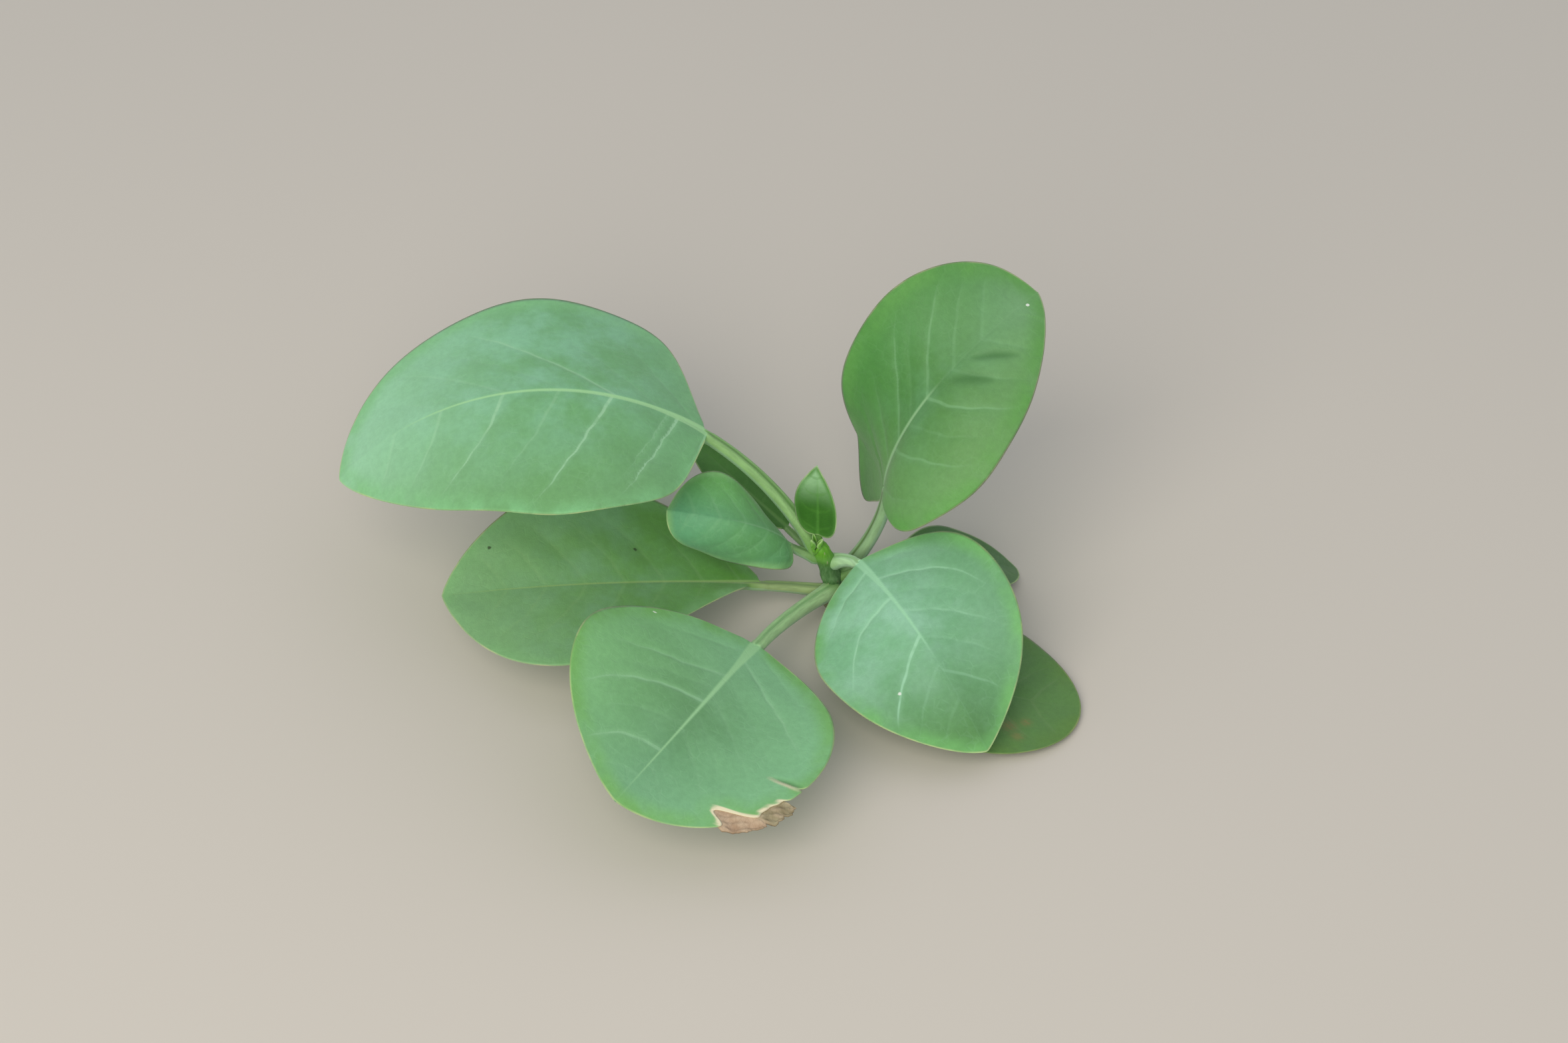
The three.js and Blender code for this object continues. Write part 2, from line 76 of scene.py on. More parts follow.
camera = bpy.data.objects.new("camera", bpy.data.cameras.new("camera"))
camera.data.lens = LENS
camera.data.sensor_width = SENSOR
camera.location = camera_place() * MM
camera.rotation_euler = (math.radians(90 - LOOKING_DOWN), 0, 0)
bpy.context.scene.collection.objects.link(camera)
bpy.context.scene.camera = camera
print("camera at", [round(x, 3) for x in camera.location])

# %% [markdown]
# ## Colours and nodes
# A colour picked from a picture is an sRGB value, but a shader works in linear light. One small
# function turns the one into the other. A second one adds a shader node, sets it and links it,
# so that a finish reads from top to bottom as a recipe. Its inputs are either named or, in
# brackets, given in the node's own order: a Mix takes its share and two colours, and a Map Range
# takes a value, where it starts and ends, and what those two become.


# %% Two helpers for finishes
SMOOTH = dict(interpolation_type="SMOOTHSTEP")  # a Map Range that starts and ends without a kink
TIMES = dict(operation="MULTIPLY")


def linear(colour):
    parts = [int(colour[i : i + 2], 16) / 255 for i in (1, 3, 5)]
    return [x / 12.92 if x <= 0.04045 else ((x + 0.055) / 1.055) ** 2.4 for x in parts] + [1]


def add(tree, kind, inputs, output=0, **settings):
    node = tree.nodes.new("ShaderNode" + kind)
    for name, value in settings.items():
        setattr(node, name, value)
    for place, value in inputs.items() if isinstance(inputs, dict) else enumerate(inputs):
        if isinstance(value, bpy.types.NodeSocket):
            tree.links.new(value, node.inputs[place])
        else:
            node.inputs[place].default_value = value
    return node.outputs[output]


print("a mid grey, #808080, is", round(linear("#808080")[0], 3), "in linear light")

# %% [markdown]
# ## Floor and light
# The plant grows in open shade, where light comes from the whole sky and shadows are soft. A
# pale blue-white world gives that, and one wide lamp, high in front of the plant and to its left,
# lights the leaves evenly and still shows how each blade curves. A picture of a real sky would
# light them too, but its colours would be harder to match. The floor is plain and pale.


# %% Lay the floor and light it
def plain_surface(name, colour, roughness):
    material = bpy.data.materials.new(name)
    material.use_nodes = True
    shader = material.node_tree.nodes["Principled BSDF"]
    shader.inputs["Base Color"].default_value = linear(colour)
    shader.inputs["Roughness"].default_value = roughness
    return material


FLOOR_SIZE = 6  # m
SKY_STRENGTH = 0.6
LAMP_WIDTH, LAMP_POWER = 1.2, 11  # m and W
LAMP_PLACE = -0.35, -0.9, 0.8  # m
half_floor = FLOOR_SIZE / 2
corners = [(x * half_floor, y * half_floor, 0) for x, y in ((-1, -1), (1, -1), (1, 1), (-1, 1))]
floor_mesh = bpy.data.meshes.new("floor")
floor_mesh.from_pydata(corners, [], [(0, 1, 2, 3)])
floor_mesh.materials.append(plain_surface("matt pale board", "#cfc8bb", 0.9))
floor = bpy.data.objects.new("floor", floor_mesh)
bpy.context.scene.collection.objects.link(floor)

world = bpy.data.worlds.new("open shade")
world.use_nodes = True
sky = world.node_tree.nodes["Background"]
sky.inputs["Color"].default_value = linear("#eef4ff")
sky.inputs["Strength"].default_value = SKY_STRENGTH
bpy.context.scene.world = world

lamp = bpy.data.objects.new("sky window", bpy.data.lights.new("sky window", "AREA"))
lamp.data.shape = "DISK"
lamp.data.size = LAMP_WIDTH
lamp.data.energy = LAMP_POWER
lamp.data.color = linear("#fff8ee")[:3]
lamp.location = LAMP_PLACE
lamp.rotation_euler = (-lamp.location).to_track_quat("-Z", "Y").to_euler()
bpy.context.scene.collection.objects.link(lamp)
bpy.context.scene.view_settings.view_transform = "Standard"
print("floor and light ready")

# %% [markdown]
# ## What a leaf is
# Every leaf follows one rule, the same as in the solid model. It is a stalk that grows from its
# foot on the stem, and a blade that goes on from the stalk. Both turn evenly from one heading
# and lift to another, in degrees, and a blade also from one roll to another. Each side of the
# blade has an outline of its own, given by how slowly it widens from the foot, how slowly it
# closes to the tip, how far an ear reaches back beside the stalk, and how long a slim neck it
# starts with. The fold lifts a side from the midrib, the cup turns its margin up, and the quilt
# is how far it bulges up between two side veins, in mm. The wave gives the height in mm and the
# number of the waves along the margin.
#
# A side vein has four numbers: where it leaves the midrib, over the blade's length; how far
# forward it heads per mm outwards; how much it swings forward on top of that on its way to the
# margin; and how plainly it shows, up to 1. Creases and specks are placed in millimetres from the
# midrib, left being negative, and from the blade's foot. A crease also has a depth and a
# half-width, and a speck has a radius and a sign: 1 is pale and -1 is dark.
#
# Modelling each leaf by hand would also work, but a table keeps all ten alike where real ones
# are alike, and every number in it can be checked against a real leaf.


# %% What the table is made of
def limb(length, heading, lift, **more):
    return dict(length=length, heading=heading, lift=lift, **more)


def half(fold, cup, margin, veins, quilt=0.15):
    return dict(fold=fold, cup=cup, margin=margin, veins=veins, quilt=quilt)


FAINT_VEINS = 0.07, 0.8  # of the blade's length, where the first and the last of them leave


def faint_veins(count, shown):
    """Veins that hardly show, spread evenly along the midrib."""
    return [(x, 0.35 + 0.2 * x, 0.3 + 1.2 * x, shown) for x in np.linspace(*FAINT_VEINS, count)]


print("the second of three faint veins:", [round(float(x), 2) for x in faint_veins(3, 0.4)[1]])

# %% The lower leaves
LEAVES = {
    "lower_right": dict(
        foot=(2, -1, 3.5),
        stalk=limb(11, (-80, -53), (2, 0), radius=(1.5, 1.1)),
        blade=limb(54, (-53, -2), (0, -5), width=40, roll=(3, -3)),
        right=half(0, 3, (0.58, 0.52, 0, 0), faint_veins(6, 0.45), quilt=0.25),
        left=half(0, -2, (0.58, 0.52, 0, 0), faint_veins(7, 0.45), quilt=0.25),
        wave=(0.4, 2.2),
    ),
    "lower_left": dict(
        foot=(-1, -1.5, 5),
        stalk=limb(16, (180.5, 191), (12, 13), radius=(1.6, 1.2)),
        blade=limb(72, (191, 186.5), (13, -3), width=50.5, roll=(-14, 8)),
        right=half(12, 12, (0.8, 0.78, 0, 0), faint_veins(7, 0.22)),
        left=half(3, -3, (1.34, 0.76, 0, 0), faint_veins(7, 0.22)),
        wave=(0.5, 1.8),
        specks=((10.6, 60.7, 0.45, -1), (9.2, 28.3, 0.5, -1)),
    ),
    "front": dict(
        foot=(-1, -1.7, 6.2),
        stalk=limb(31.5, (225.5, 249), (8, 19), radius=(1.9, 1.5)),
        blade=limb(61, (249, 234), (19, -7), width=60, roll=(11, 22)),
        right=half(
            8, 2, (0.74, 0.71, 0, 0.04),
            [(0.1, 0.5, 0.1, 0.15), (0.28, 0.5, 0.1, 0.55), (0.37, 0.4, 0.5, 0.08), (0.454, 0.28, 0.95, 0.9),
             (0.6, 0.22, 1.6, 0.12), (0.738, 0.16, 2.8, 0.75), (0.87, 0.2, 4, 0.15)],
            quilt=0.16,
        ),
        left=half(
            -12, 23, (0.74, 0.69, 0, 0.03),
            [(0.04, 0.7, 0.1, 0.12), (0.15, 0.72, 0.13, 0.65), (0.28, 0.72, 0.2, 0.06), (0.4, 0.7, 0.3, 0.15),
             (0.51, 0.7, 0.5, 0.06), (0.61, 0.7, 0.8, 0.15), (0.8, 0.7, 2, 0.1)],
            quilt=0.1,
        ),
        wave=(0.5, 2),
        creases=((((-21.6, 35.7), (-25.1, 35.6), (-28.6, 36.1)), 0.5, 0.6),),
        specks=((20.9, 14.1, 0.4, 1),),
    ),
    "back_right": dict(
        foot=(1, 0.5, 8),
        stalk=limb(13, (15, 0), (24, 0), radius=(1.2, 0.9)),
        blade=limb(31, (0, 30), (0, -36), width=22, roll=(4, -4)),
        right=half(4, 2, (0.5, 0.7, 0, 0), faint_veins(5, 0.4), quilt=0.2),
        left=half(4, 2, (0.5, 0.7, 0, 0), faint_veins(5, 0.4), quilt=0.2),
        wave=(0.3, 1.5),
    ),
    "back_left": dict(
        foot=(-3, 1.5, 11),
        stalk=limb(11, (140, 144), (22, 24), radius=(1.1, 0.8)),
        blade=limb(32, (144, 131), (24, 10), width=12, roll=(0, 0)),
        right=half(4, 2, (0.6, 0.7, 0, 0), faint_veins(5, 0.3)),
        left=half(4, 2, (0.6, 0.7, 0, 0), faint_veins(5, 0.3)),
        wave=(0.2, 1.5),
    ),
}
print("lower leaves:", len(LEAVES))

# %% The upper leaves
LEAVES |= {
    "upper_right": dict(
        foot=(1, 2, 8),
        stalk=limb(24, (21.5, 8), (46, 87), radius=(1.8, 1.5)),
        blade=limb(62, (8, 52), (87, -5), width=45, roll=(18, -10)),
        right=half(
            -5.5, -26.5, (0.43, 0.8, 0.07, 0.04),
            [(0.02, 0.35, 0.4, 0.35), (0.187, 0.4, 0.25, 0.7), (0.3, 0.4, 0.4, 0.25),
             (0.417, 0.38, 0.65, 0.9), (0.55, 0.42, 1, 0.35), (0.7, 0.5, 1.3, 0.3)],
            quilt=0.55,
        ),
        left=half(
            12.5, 18, (0.42, 0.49, 0.31, 0.02),
            [(0.1, 0.9, 0.1, 0.3), (0.218, 1.06, 0.2, 0.65), (0.31, 1, 0.3, 0.2), (0.416, 1.04, 0.5, 0.7),
             (0.56, 1, 0.8, 0.35), (0.7, 1, 1, 0.3)],
            quilt=0.3,
        ),
        wave=(0.5, 2.1),
        creases=(
            (((1.1, 38.5), (4.8, 42.9), (8.6, 46.8)), 0.55, 1.1),
            (((1.2, 31.9), (5, 35.6), (9.2, 38.8)), 0.35, 1.4),
        ),
        specks=((1, 57, 0.45, 1),),
    ),
    "right": dict(
        foot=(-1, 0, 13),
        stalk=limb(7.5, (-10, -65), (28, 18), radius=(1.5, 1.2)),
        blade=limb(59, (-65, -57), (18, -38), width=46, roll=(-17.5, 11)),
        right=half(
            -15.5, 1.5, (0.61, 0.71, 0, 0.02),
            [(0.088, 0.33, 0.56, 0.8), (0.19, 0.25, 0.8, 0.08), (0.283, 0.16, 1.05, 0.9),
             (0.4, 0.45, 1, 0.08), (0.493, 0.78, 0.9, 1), (0.63, 0.8, 1.4, 0.15), (0.78, 0.8, 2, 0.1)],
            quilt=0.2,
        ),
        left=half(
            -6.5, 23, (0.6, 0.8, 0, 0),
            [(0.06, 0.25, 0.8, 0.1), (0.16, 0.25, 1, 0.7), (0.26, 0.35, 0.9, 0.1), (0.363, 0.45, 0.8, 0.4),
             (0.5, 0.5, 1.2, 0.15), (0.66, 0.6, 1.6, 0.3)],
            quilt=0.2,
        ),
        wave=(0.5, 2),
        specks=((10.8, 39.2, 0.45, 1),),
    ),
    "middle_left": dict(
        foot=(-5, 0, 14),
        stalk=limb(7.7, (161, 221), (16, 59), radius=(1.2, 0.9)),
        blade=limb(33, (221, 152), (59, -16), width=25, roll=(-2, 8.5)),
        right=half(7, -2, (0.55, 0.3, 0.16, 0), faint_veins(5, 0.3), quilt=0.25),
        left=half(-44, -44, (0.55, 0.3, 0.16, 0), faint_veins(5, 0.25), quilt=0.25),
        wave=(0.2, 1.6),
    ),
    "upper_left": dict(
        foot=(-4, 1, 15),
        stalk=limb(36.5, (141, 174.5), (51, 37), radius=(1.8, 1.5)),
        blade=limb(91, (174.5, 194.5), (37, -48), width=72.5, roll=(-6, 9)),
        right=half(
            -8, 2.5, (0.4, 0.71, 0, 0.06),
            [(0.04, 0.7, 0.1, 0.12), (0.14, 1, 0.1, 0.08), (0.25, 1.3, 0.05, 0.55), (0.38, 1.3, 0.2, 0.06),
             (0.52, 1.2, 0.4, 0.2), (0.68, 1.1, 0.6, 0.08)],
            quilt=0.12,
        ),
        left=half(
            -4, -2, (0.43, 0.72, 0, 0.03),
            [(0.011, 0.22, 0.02, 0.7), (0.093, 0.3, 0.11, 1), (0.118, 0.31, 0.14, 0.35),
             (0.262, 0.36, 0.22, 1), (0.39, 0.35, 0.5, 0.25), (0.525, 0.33, 1.2, 0.75),
             (0.68, 0.4, 1.8, 0.35), (0.81, 0.5, 2.4, 0.25)],
            quilt=0.6,
        ),
        wave=(0.7, 2.3),
    ),
    "young": dict(
        foot=(-4.5, -0.5, 18),
        stalk=limb(2, (88, 88), (75, 76), radius=(0.9, 0.8)),
        blade=limb(18.6, (88, 106), (76, 89), width=11.5, roll=(14, 4)),
        right=half(32, 5, (0.4, 1.15, 0, 0), faint_veins(4, 0.4), quilt=0.1),
        left=half(6, -26, (0.36, 0.74, 0, 0), faint_veins(4, 0.4), quilt=0.1),
        wave=(0, 1),
    ),
}
print("leaves in the table:", len(LEAVES))

# %% [markdown]
# ## The line of a leaf
# A limb's frame at a place along it has three directions: along the limb, to its right-hand side
# and up from it. Adding up short steps along it draws the line that the limb follows. A curve
# with handles would give a similar line, but it wouldn't meet the solid model's exactly.

# %% Follow a limb
STEPS = 96  # short steps that a limb's line is added up from


def direction(heading, lift):
    level = np.cos(lift)
    return np.stack([level * np.cos(heading), level * np.sin(heading), np.sin(lift)], -1)


def between(ends, u):
    return ends[0] + (ends[1] - ends[0]) * u


def limb_frame(part, u):
    heading = np.radians(between(part["heading"], u))
    along = direction(heading, np.radians(between(part["lift"], u)))
    level = np.stack([np.sin(heading), -np.cos(heading), np.zeros_like(heading)], -1)
    above = np.cross(level, along)
    roll = np.radians(between(part.get("roll", (0, 0)), u))[..., None]
    side = level * np.cos(roll) + above * np.sin(roll)
    return along, side, above * np.cos(roll) - level * np.sin(roll)


def limb_line(start, part):
    middles = (np.arange(STEPS) + 0.5) / STEPS
    steps = limb_frame(part, middles)[0] * part["length"] / STEPS
    return np.vstack([start, start + np.cumsum(steps, axis=0)])


def point_on(line, u):
    places = np.linspace(0, 1, len(line))
    return np.stack([np.interp(u, places, line[:, axis]) for axis in range(3)], -1)


for leaf in LEAVES.values():
    leaf["stalk_line"] = limb_line(np.array(leaf["foot"], float), leaf["stalk"])
    leaf["midrib"] = limb_line(leaf["stalk_line"][-1], leaf["blade"])
print("longest blade:", max(leaf["blade"]["length"] for leaf in LEAVES.values()), "mm")

# %% [markdown]
# ## The outline, and what was eaten
# The margin gives the half-width of a blade at each place along it. On the front leaf an insect
# has eaten one deep hollow and two slight ones out of the left margin. Their edges have healed
# unevenly, so waves two and four millimetres long are added along the damage. Cutting the hollows
# out with a boolean would leave a ragged mesh. Drawing the margin in keeps every row of the mesh
# in order.

# %% Draw the outline
EAR_LENGTH = 0.09  # how far along the blade an ear is drawn, over its length
NECK_SHARPNESS = 1.5
BITES = [(0.8, 0.045, 0.25), (0.7, 0.05, 0.04), (0.6, 0.012, 0.035)]  # place, half-length, depth
TORN = 0.655, 0.85  # where the eaten margin starts and ends along the blade
TORN_FADE = 0.01  # of the blade's length, over which the tearing sets in
TEAR_DEPTH = 0.01  # of the half-width
TEARS = (97, 1, 0), (171, 0.6, 1)  # its waves: radians over the blade's length, height and phase


def margin(leaf, hand, s):
    foot, tip, ear, neck = leaf[hand]["margin"]
    widest = foot / (foot + tip)
    fullest = widest**foot * (1 - widest) ** tip
    width = leaf["blade"]["width"] / 2 * s**foot * (1 - s) ** tip / fullest
    if neck:
        width = width * (1 - np.exp(-((s / neck) ** NECK_SHARPNESS)))
    return width, s - ear * (s / EAR_LENGTH) * np.exp(1 - s / EAR_LENGTH)


def in_torn_part(s):
    return np.clip(np.minimum(s - TORN[0], TORN[1] - s) / TORN_FADE, 0, 1)


def bitten(s):
    depth = np.zeros_like(s)
    for place, half_length, deepest in BITES:
        off = np.clip((s - place) / half_length, -1, 1)
        depth = np.maximum(depth, deepest * np.cos(np.pi / 2 * off) ** 2)
    tears = sum(height * np.sin(s * pace + phase) for pace, height, phase in TEARS)
    return depth + TEAR_DEPTH * (1 + tears) * in_torn_part(s)


def plan(leaf, s, c):
    """Signed distance from the midrib in mm, place along the blade and half-width in mm, for the
    row s and the column c, which runs from -1 at the left margin to 1 at the right one."""
    eaten = bitten(s) if leaf is LEAVES["front"] else 0
    right, right_place = margin(leaf, "right", s)
    left, left_place = margin(leaf, "left", s)
    width = np.where(c > 0, right, left * (1 - eaten))
    place = np.where(c > 0, right_place, left_place)
    return c * width, s + np.abs(c) * (place - s), width


print("eaten at most:", round(float(bitten(np.linspace(0, 1, 500)).max()), 2), "of the half-width")

# %% [markdown]
# ## Veins and the quilting between them
# From the midrib, four to eight veins leave on each side, at 40 to 80 degrees to it. They swing
# forward as they near the margin, where they fade. Between two of them the blade bulges up a
# little, like a quilt. Curves laid on the blade could draw the veins. Here each point of the
# blade gets a vein number instead: it is whole on a vein and halfway between two of them. The
# shader can then draw a vein thinner than a face of the mesh, and the same number shapes the
# bulges.

# %% Find the veins
FAR = 9.0  # mm, what a point gets where a distance means nothing on it
WANDER = 0.22  # mm that a vein wanders from its smooth line
LONG_BEND, SHORT_BEND = 1.7, 0.7  # mm for each radian of the two waves in which it wanders
CLOSEST = 0.6  # mm that two veins stay apart
VEIN_END = 0.4, 0.2  # of the half-width: where a faint vein starts to fade, and how much later a plain one
VEIN_FADE = 0.35  # of the half-width, over which it fades


def eased(x):
    x = np.clip(x, 0, 1)
    return x * x * (3 - 2 * x)


def vein_lines(leaf, hand, across):
    """How far along the blade each vein of one side is, in mm, at a distance from the midrib."""
    size, length = leaf["blade"]["width"] / 2, leaf["blade"]["length"]
    off = np.abs(across)
    out = off / size
    lines = []
    for number, (origin, rise, swing, _) in enumerate(leaf[hand]["veins"]):
        wander = np.sin(off / LONG_BEND + 2.4 * number) + 0.6 * np.sin(off / SHORT_BEND + number)
        smooth = origin * length + size * (rise * out + swing * out**3)
        line = smooth + WANDER * wander * np.minimum(1, 3 * out)
        lines.append(np.maximum(line, lines[-1] + CLOSEST) if lines else line)
    return [2 * lines[0] - lines[1]] + lines + [2 * lines[-1] - lines[-2]]


def vein_place(leaf, across, place, width):
    """At each point, the vein number, the gap between its two veins in mm, and how plainly the
    nearer one shows."""
    forward = place * leaf["blade"]["length"]
    out = np.abs(across) / (leaf["blade"]["width"] / 2)
    share_out = np.abs(across) / np.maximum(width, 0.01)
    number, gap = np.full_like(forward, 0.5), np.full_like(forward, FAR)
    shown = np.zeros_like(forward)
    for hand, here in (("left", across <= 0), ("right", across > 0)):
        veins = leaf[hand]["veins"]
        lines = vein_lines(leaf, hand, across)
        strengths = [0] + [vein[3] for vein in veins] + [0]
        for n, (low, high) in enumerate(zip(lines, lines[1:])):
            rise, swing = veins[min(max(n - 1, 0), len(veins) - 1)][1:3]
            inside = here & (forward >= low) & (forward < high)
            part = (forward - low) / (high - low)
            square = 1 / np.hypot(1, rise + 3 * swing * out**2)
            number = np.where(inside, n + part, number)
            gap = np.where(inside, (high - low) * square, gap)
            strength = np.where(part < 0.5, strengths[n], strengths[n + 1])
            ended = eased((share_out - VEIN_END[0] - VEIN_END[1] * strength) / VEIN_FADE)
            shown = np.where(inside, strength * (1 - ended), shown)
    return number, gap, shown


spots = np.array([-20.0, 10.0]), np.array([0.4, 0.5]), np.array([30.0, 30.0])
numbers_there = vein_place(LEAVES["upper_left"], *spots)[0].round(2)
print("vein numbers at two spots of the upper left leaf:", numbers_there)

# %% [markdown]
# ## The relief of a blade
# Side veins lie in shallow valleys with the quilted bulges between them. The upper right leaf has
# two sharp creases where it was pressed while it grew, and the front one has a slit. All of them
# are heights added to the blade's smooth surface, so they catch the light from any side. A bump
# map would look the same from above, but flat from the side.

# %% Shape the relief
QUILT_START = 3.0  # mm from the midrib to where the quilting has mostly risen
QUILT_END = 2.5  # it flattens over the outer 1 / 2.5 of the half-width
QUILT_LOSS = 0.6  # of its height that the quilting loses on its way to the tip
FULL_CELL = 6  # mm between two veins that give the bulge its full height
VALLEY_DEPTH, VALLEY_WIDTH = 0.24, 0.5  # mm, of the valley in which a side vein lies
FAINT_VALLEY = 0.12  # of that depth, where the vein hardly shows
CREASE_END = 0.35  # a crease's width at its ends, over its width in the middle
CREASE_SHARPNESS = 0.6  # less makes it close more suddenly
DENTS, DENT_HEIGHT = 7, 0.05  # how many slight waves dent a blade, and mm
DENT_LENGTHS = 9, 22  # mm, of the shortest and the longest of them


def near_line(points, x, y):
    """The distance to a bent line, and how far along it the nearest point is, up to 1."""
    points = np.array(points, float)
    steps = np.diff(points, axis=0)
    lengths = np.hypot(*steps.T)
    nearest, run, before = np.full(x.shape, np.inf), np.zeros(x.shape), 0
    for start, step, length in zip(points, steps, lengths):
        share = np.clip(((x - start[0]) * step[0] + (y - start[1]) * step[1]) / length**2, 0, 1)
        off = np.hypot(x - start[0] - share * step[0], y - start[1] - share * step[1])
        run = np.where(off < nearest, (before + share * length) / lengths.sum(), run)
        nearest = np.minimum(nearest, off)
        before += length
    return nearest, run


def creased(leaf, across, forward):
    """Depth of the creases in mm, and how strongly painted shade darkens them."""
    depth, shade = np.zeros_like(forward), np.zeros_like(forward)
    for line, deep, half_width in leaf.get("creases", ()):
        off, run = near_line(line, across, forward)
        lens = np.sin(np.pi * np.clip(run, 0, 1)) ** CREASE_SHARPNESS
        shape = lens * np.exp(-((off / (half_width * (CREASE_END + (1 - CREASE_END) * lens))) ** 2))
        depth, shade = np.maximum(depth, deep * shape), np.maximum(shade, shape)
    return depth, shade


def unevenness(leaf, across, forward):
    """Slight dents a centimetre or so across, different on each leaf but the same every time."""
    pick = np.random.default_rng(int(leaf["blade"]["length"]))
    height = np.zeros_like(forward)
    for _ in range(DENTS):
        way, length, phase = pick.uniform(0, np.pi), pick.uniform(*DENT_LENGTHS), pick.uniform(0, 6)
        run = across * np.cos(way) + forward * np.sin(way)
        height += np.sin(2 * np.pi * run / length + phase)
    return DENT_HEIGHT * height


def relief(leaf, across, place, width):
    number, gap, shown = vein_place(leaf, across, place, width)
    forward = place * leaf["blade"]["length"]
    from_vein = np.abs(number - np.round(number))
    from_margin = np.clip(1 - np.abs(across) / np.maximum(width, 0.01), 0, 1)
    risen = (1 - np.exp(-((across / QUILT_START) ** 2))) * np.minimum(1, QUILT_END * from_margin)
    fading = 1 - QUILT_LOSS * np.clip(place, 0, 1)
    quilt = np.where(across > 0, leaf["right"]["quilt"], leaf["left"]["quilt"])
    bulge = quilt * np.sin(np.pi * from_vein) ** 0.8 * np.minimum(1, gap / FULL_CELL)
    depth = VALLEY_DEPTH * (FAINT_VALLEY + (1 - FAINT_VALLEY) * shown)
    valley = depth * np.exp(-((from_vein * gap / VALLEY_WIDTH) ** 2))
    dents = risen * unevenness(leaf, across, forward)
    return risen * fading * (bulge - valley) + dents - creased(leaf, across, forward)[0]


print("deepest crease:", max(deep for _, deep, _ in LEAVES["upper_right"]["creases"]), "mm")

# %% [markdown]
# ## The section of a leaf
# A stalk is a rod with a groove along its top. Where the blade begins, the rod turns into the
# midrib, a rib under a thin sheet, and gets thinner towards the tip. One ring of points round
# the leaf serves for both: on the stalk it is the rod's section, on the blade it runs over the
# upper face and back over the lower one, and at the foot of the blade the first shape flows into
# the second. Two solids joined by a boolean would show where they meet. This way the whole leaf
# is one skin without a seam.

# %% The stalk's rod
GROOVE = 0.25  # depth of the groove, over the stalk's radius
GROOVE_SHARPNESS = 6
SEAT = 0.7  # how far the rod's axis lies under the blade's plane, over its radius
SWELLING = 0.35  # extra thickness where a stalk leaves the stem, over its radius
SWELLING_LENGTH = 2.5  # mm
SINK = 1.8  # mm of the stalk that is hidden in the stem
ROUNDED = (1, 0.4), (0.7, 0.74), (0.35, 0.93)  # its end there: place over SINK, and radius over the stalk's


def rod(line_point, side, up, radius, seat, angle):
    grooved = radius[:, None] * (1 - GROOVE * np.clip(np.sin(angle), 0, 1) ** GROOVE_SHARPNESS)
    centre = line_point - up * seat[:, None]
    return (
        centre[:, None]
        + side[:, None] * (grooved * np.cos(angle))[..., None]
        + up[:, None] * (grooved * np.sin(angle))[..., None]
    )


def stalk_rings(leaf, rows, angle):
    stalk = leaf["stalk"]
    hidden = len(ROUNDED)
    u = np.concatenate([np.zeros(hidden), np.linspace(0, 1, rows - hidden, endpoint=False)])
    along, side, up = limb_frame(stalk, u)
    line_point = point_on(leaf["stalk_line"], u)
    swollen = 1 + SWELLING * np.exp(-u * stalk["length"] / SWELLING_LENGTH)
    radius = between(stalk["radius"], u) * swollen
    for ring, (sunk, share) in enumerate(ROUNDED):
        line_point[ring] -= along[ring] * SINK * sunk
        radius[ring] *= share
    seat = np.full(rows, SEAT * stalk["radius"][1])
    return rod(line_point, side, up, radius, seat, angle), radius, (u - 1) * stalk["length"]


foot_radius = stalk_rings(LEAVES["front"], 20, np.linspace(0, 2 * np.pi, 9))[1].max()
print("the front leaf's stalk is", round(2 * foot_radius, 1), "mm thick at its foot")

# %% The blade's sheet
FOLD_RADIUS = 0.5  # mm, so that a folded blade has no sharp crease on its midrib
FOLD_SPREAD = 2.5  # mm from the midrib to where a folded side has its full slope


def blade_surface(leaf, across, place):
    blade = leaf["blade"]
    on = np.clip(place, 0, 1)
    along, side, up = limb_frame(blade, on)
    right = across > 0
    fold = np.radians(np.where(right, leaf["right"]["fold"], leaf["left"]["fold"]))
    cup = np.radians(np.where(right, leaf["right"]["cup"], leaf["left"]["cup"]))
    out = np.abs(across) / (blade["width"] / 2)
    turn = fold + cup * out
    slope = (fold + 2 * cup * out) * np.minimum(1, np.abs(across) / FOLD_SPREAD)
    height, count = leaf["wave"]
    raised = height * out**2 * np.sin(2 * np.pi * count * place + np.sign(across))
    raised += (np.sqrt(across**2 + FOLD_RADIUS**2) - FOLD_RADIUS) * np.sin(turn)
    beyond = along * ((place - on) * blade["length"])[..., None]
    point = point_on(leaf["midrib"], on) + beyond
    point += side * (across * np.cos(turn))[..., None] + up * raised[..., None]
    normal = up * np.cos(slope)[..., None] - side * (np.sign(across) * np.sin(slope))[..., None]
    return point, normal


tip_point = blade_surface(LEAVES["upper_left"], np.zeros((1, 1)), np.ones((1, 1)))[0]
print("the upper left blade ends at", tip_point.ravel().round(1), "mm")

# %% Rings round the blade
THICKNESS = 0.45  # mm, of a tree tobacco blade, which is rather fleshy
EDGE = 1.0  # mm over which the blade thins to its margin
RIB_LEFT = 0.12  # what is left of the midrib's thickness at the tip
RIB_SLIMMING = 1.3  # how fast it gets there
RIB_BLEND = 0.75, 0.15  # how wide it merges into the blade, over its radius, and mm more
RIB_FURROW, FURROW_WIDTH = 0.12, 0.6  # mm, of the furrow over the midrib
VEIN_RAISED, VEIN_WIDTH = 0.18, 0.4  # mm, of a side vein under the blade
CENTRED = 0.45  # 1 spreads the columns evenly, less crowds them along the midrib


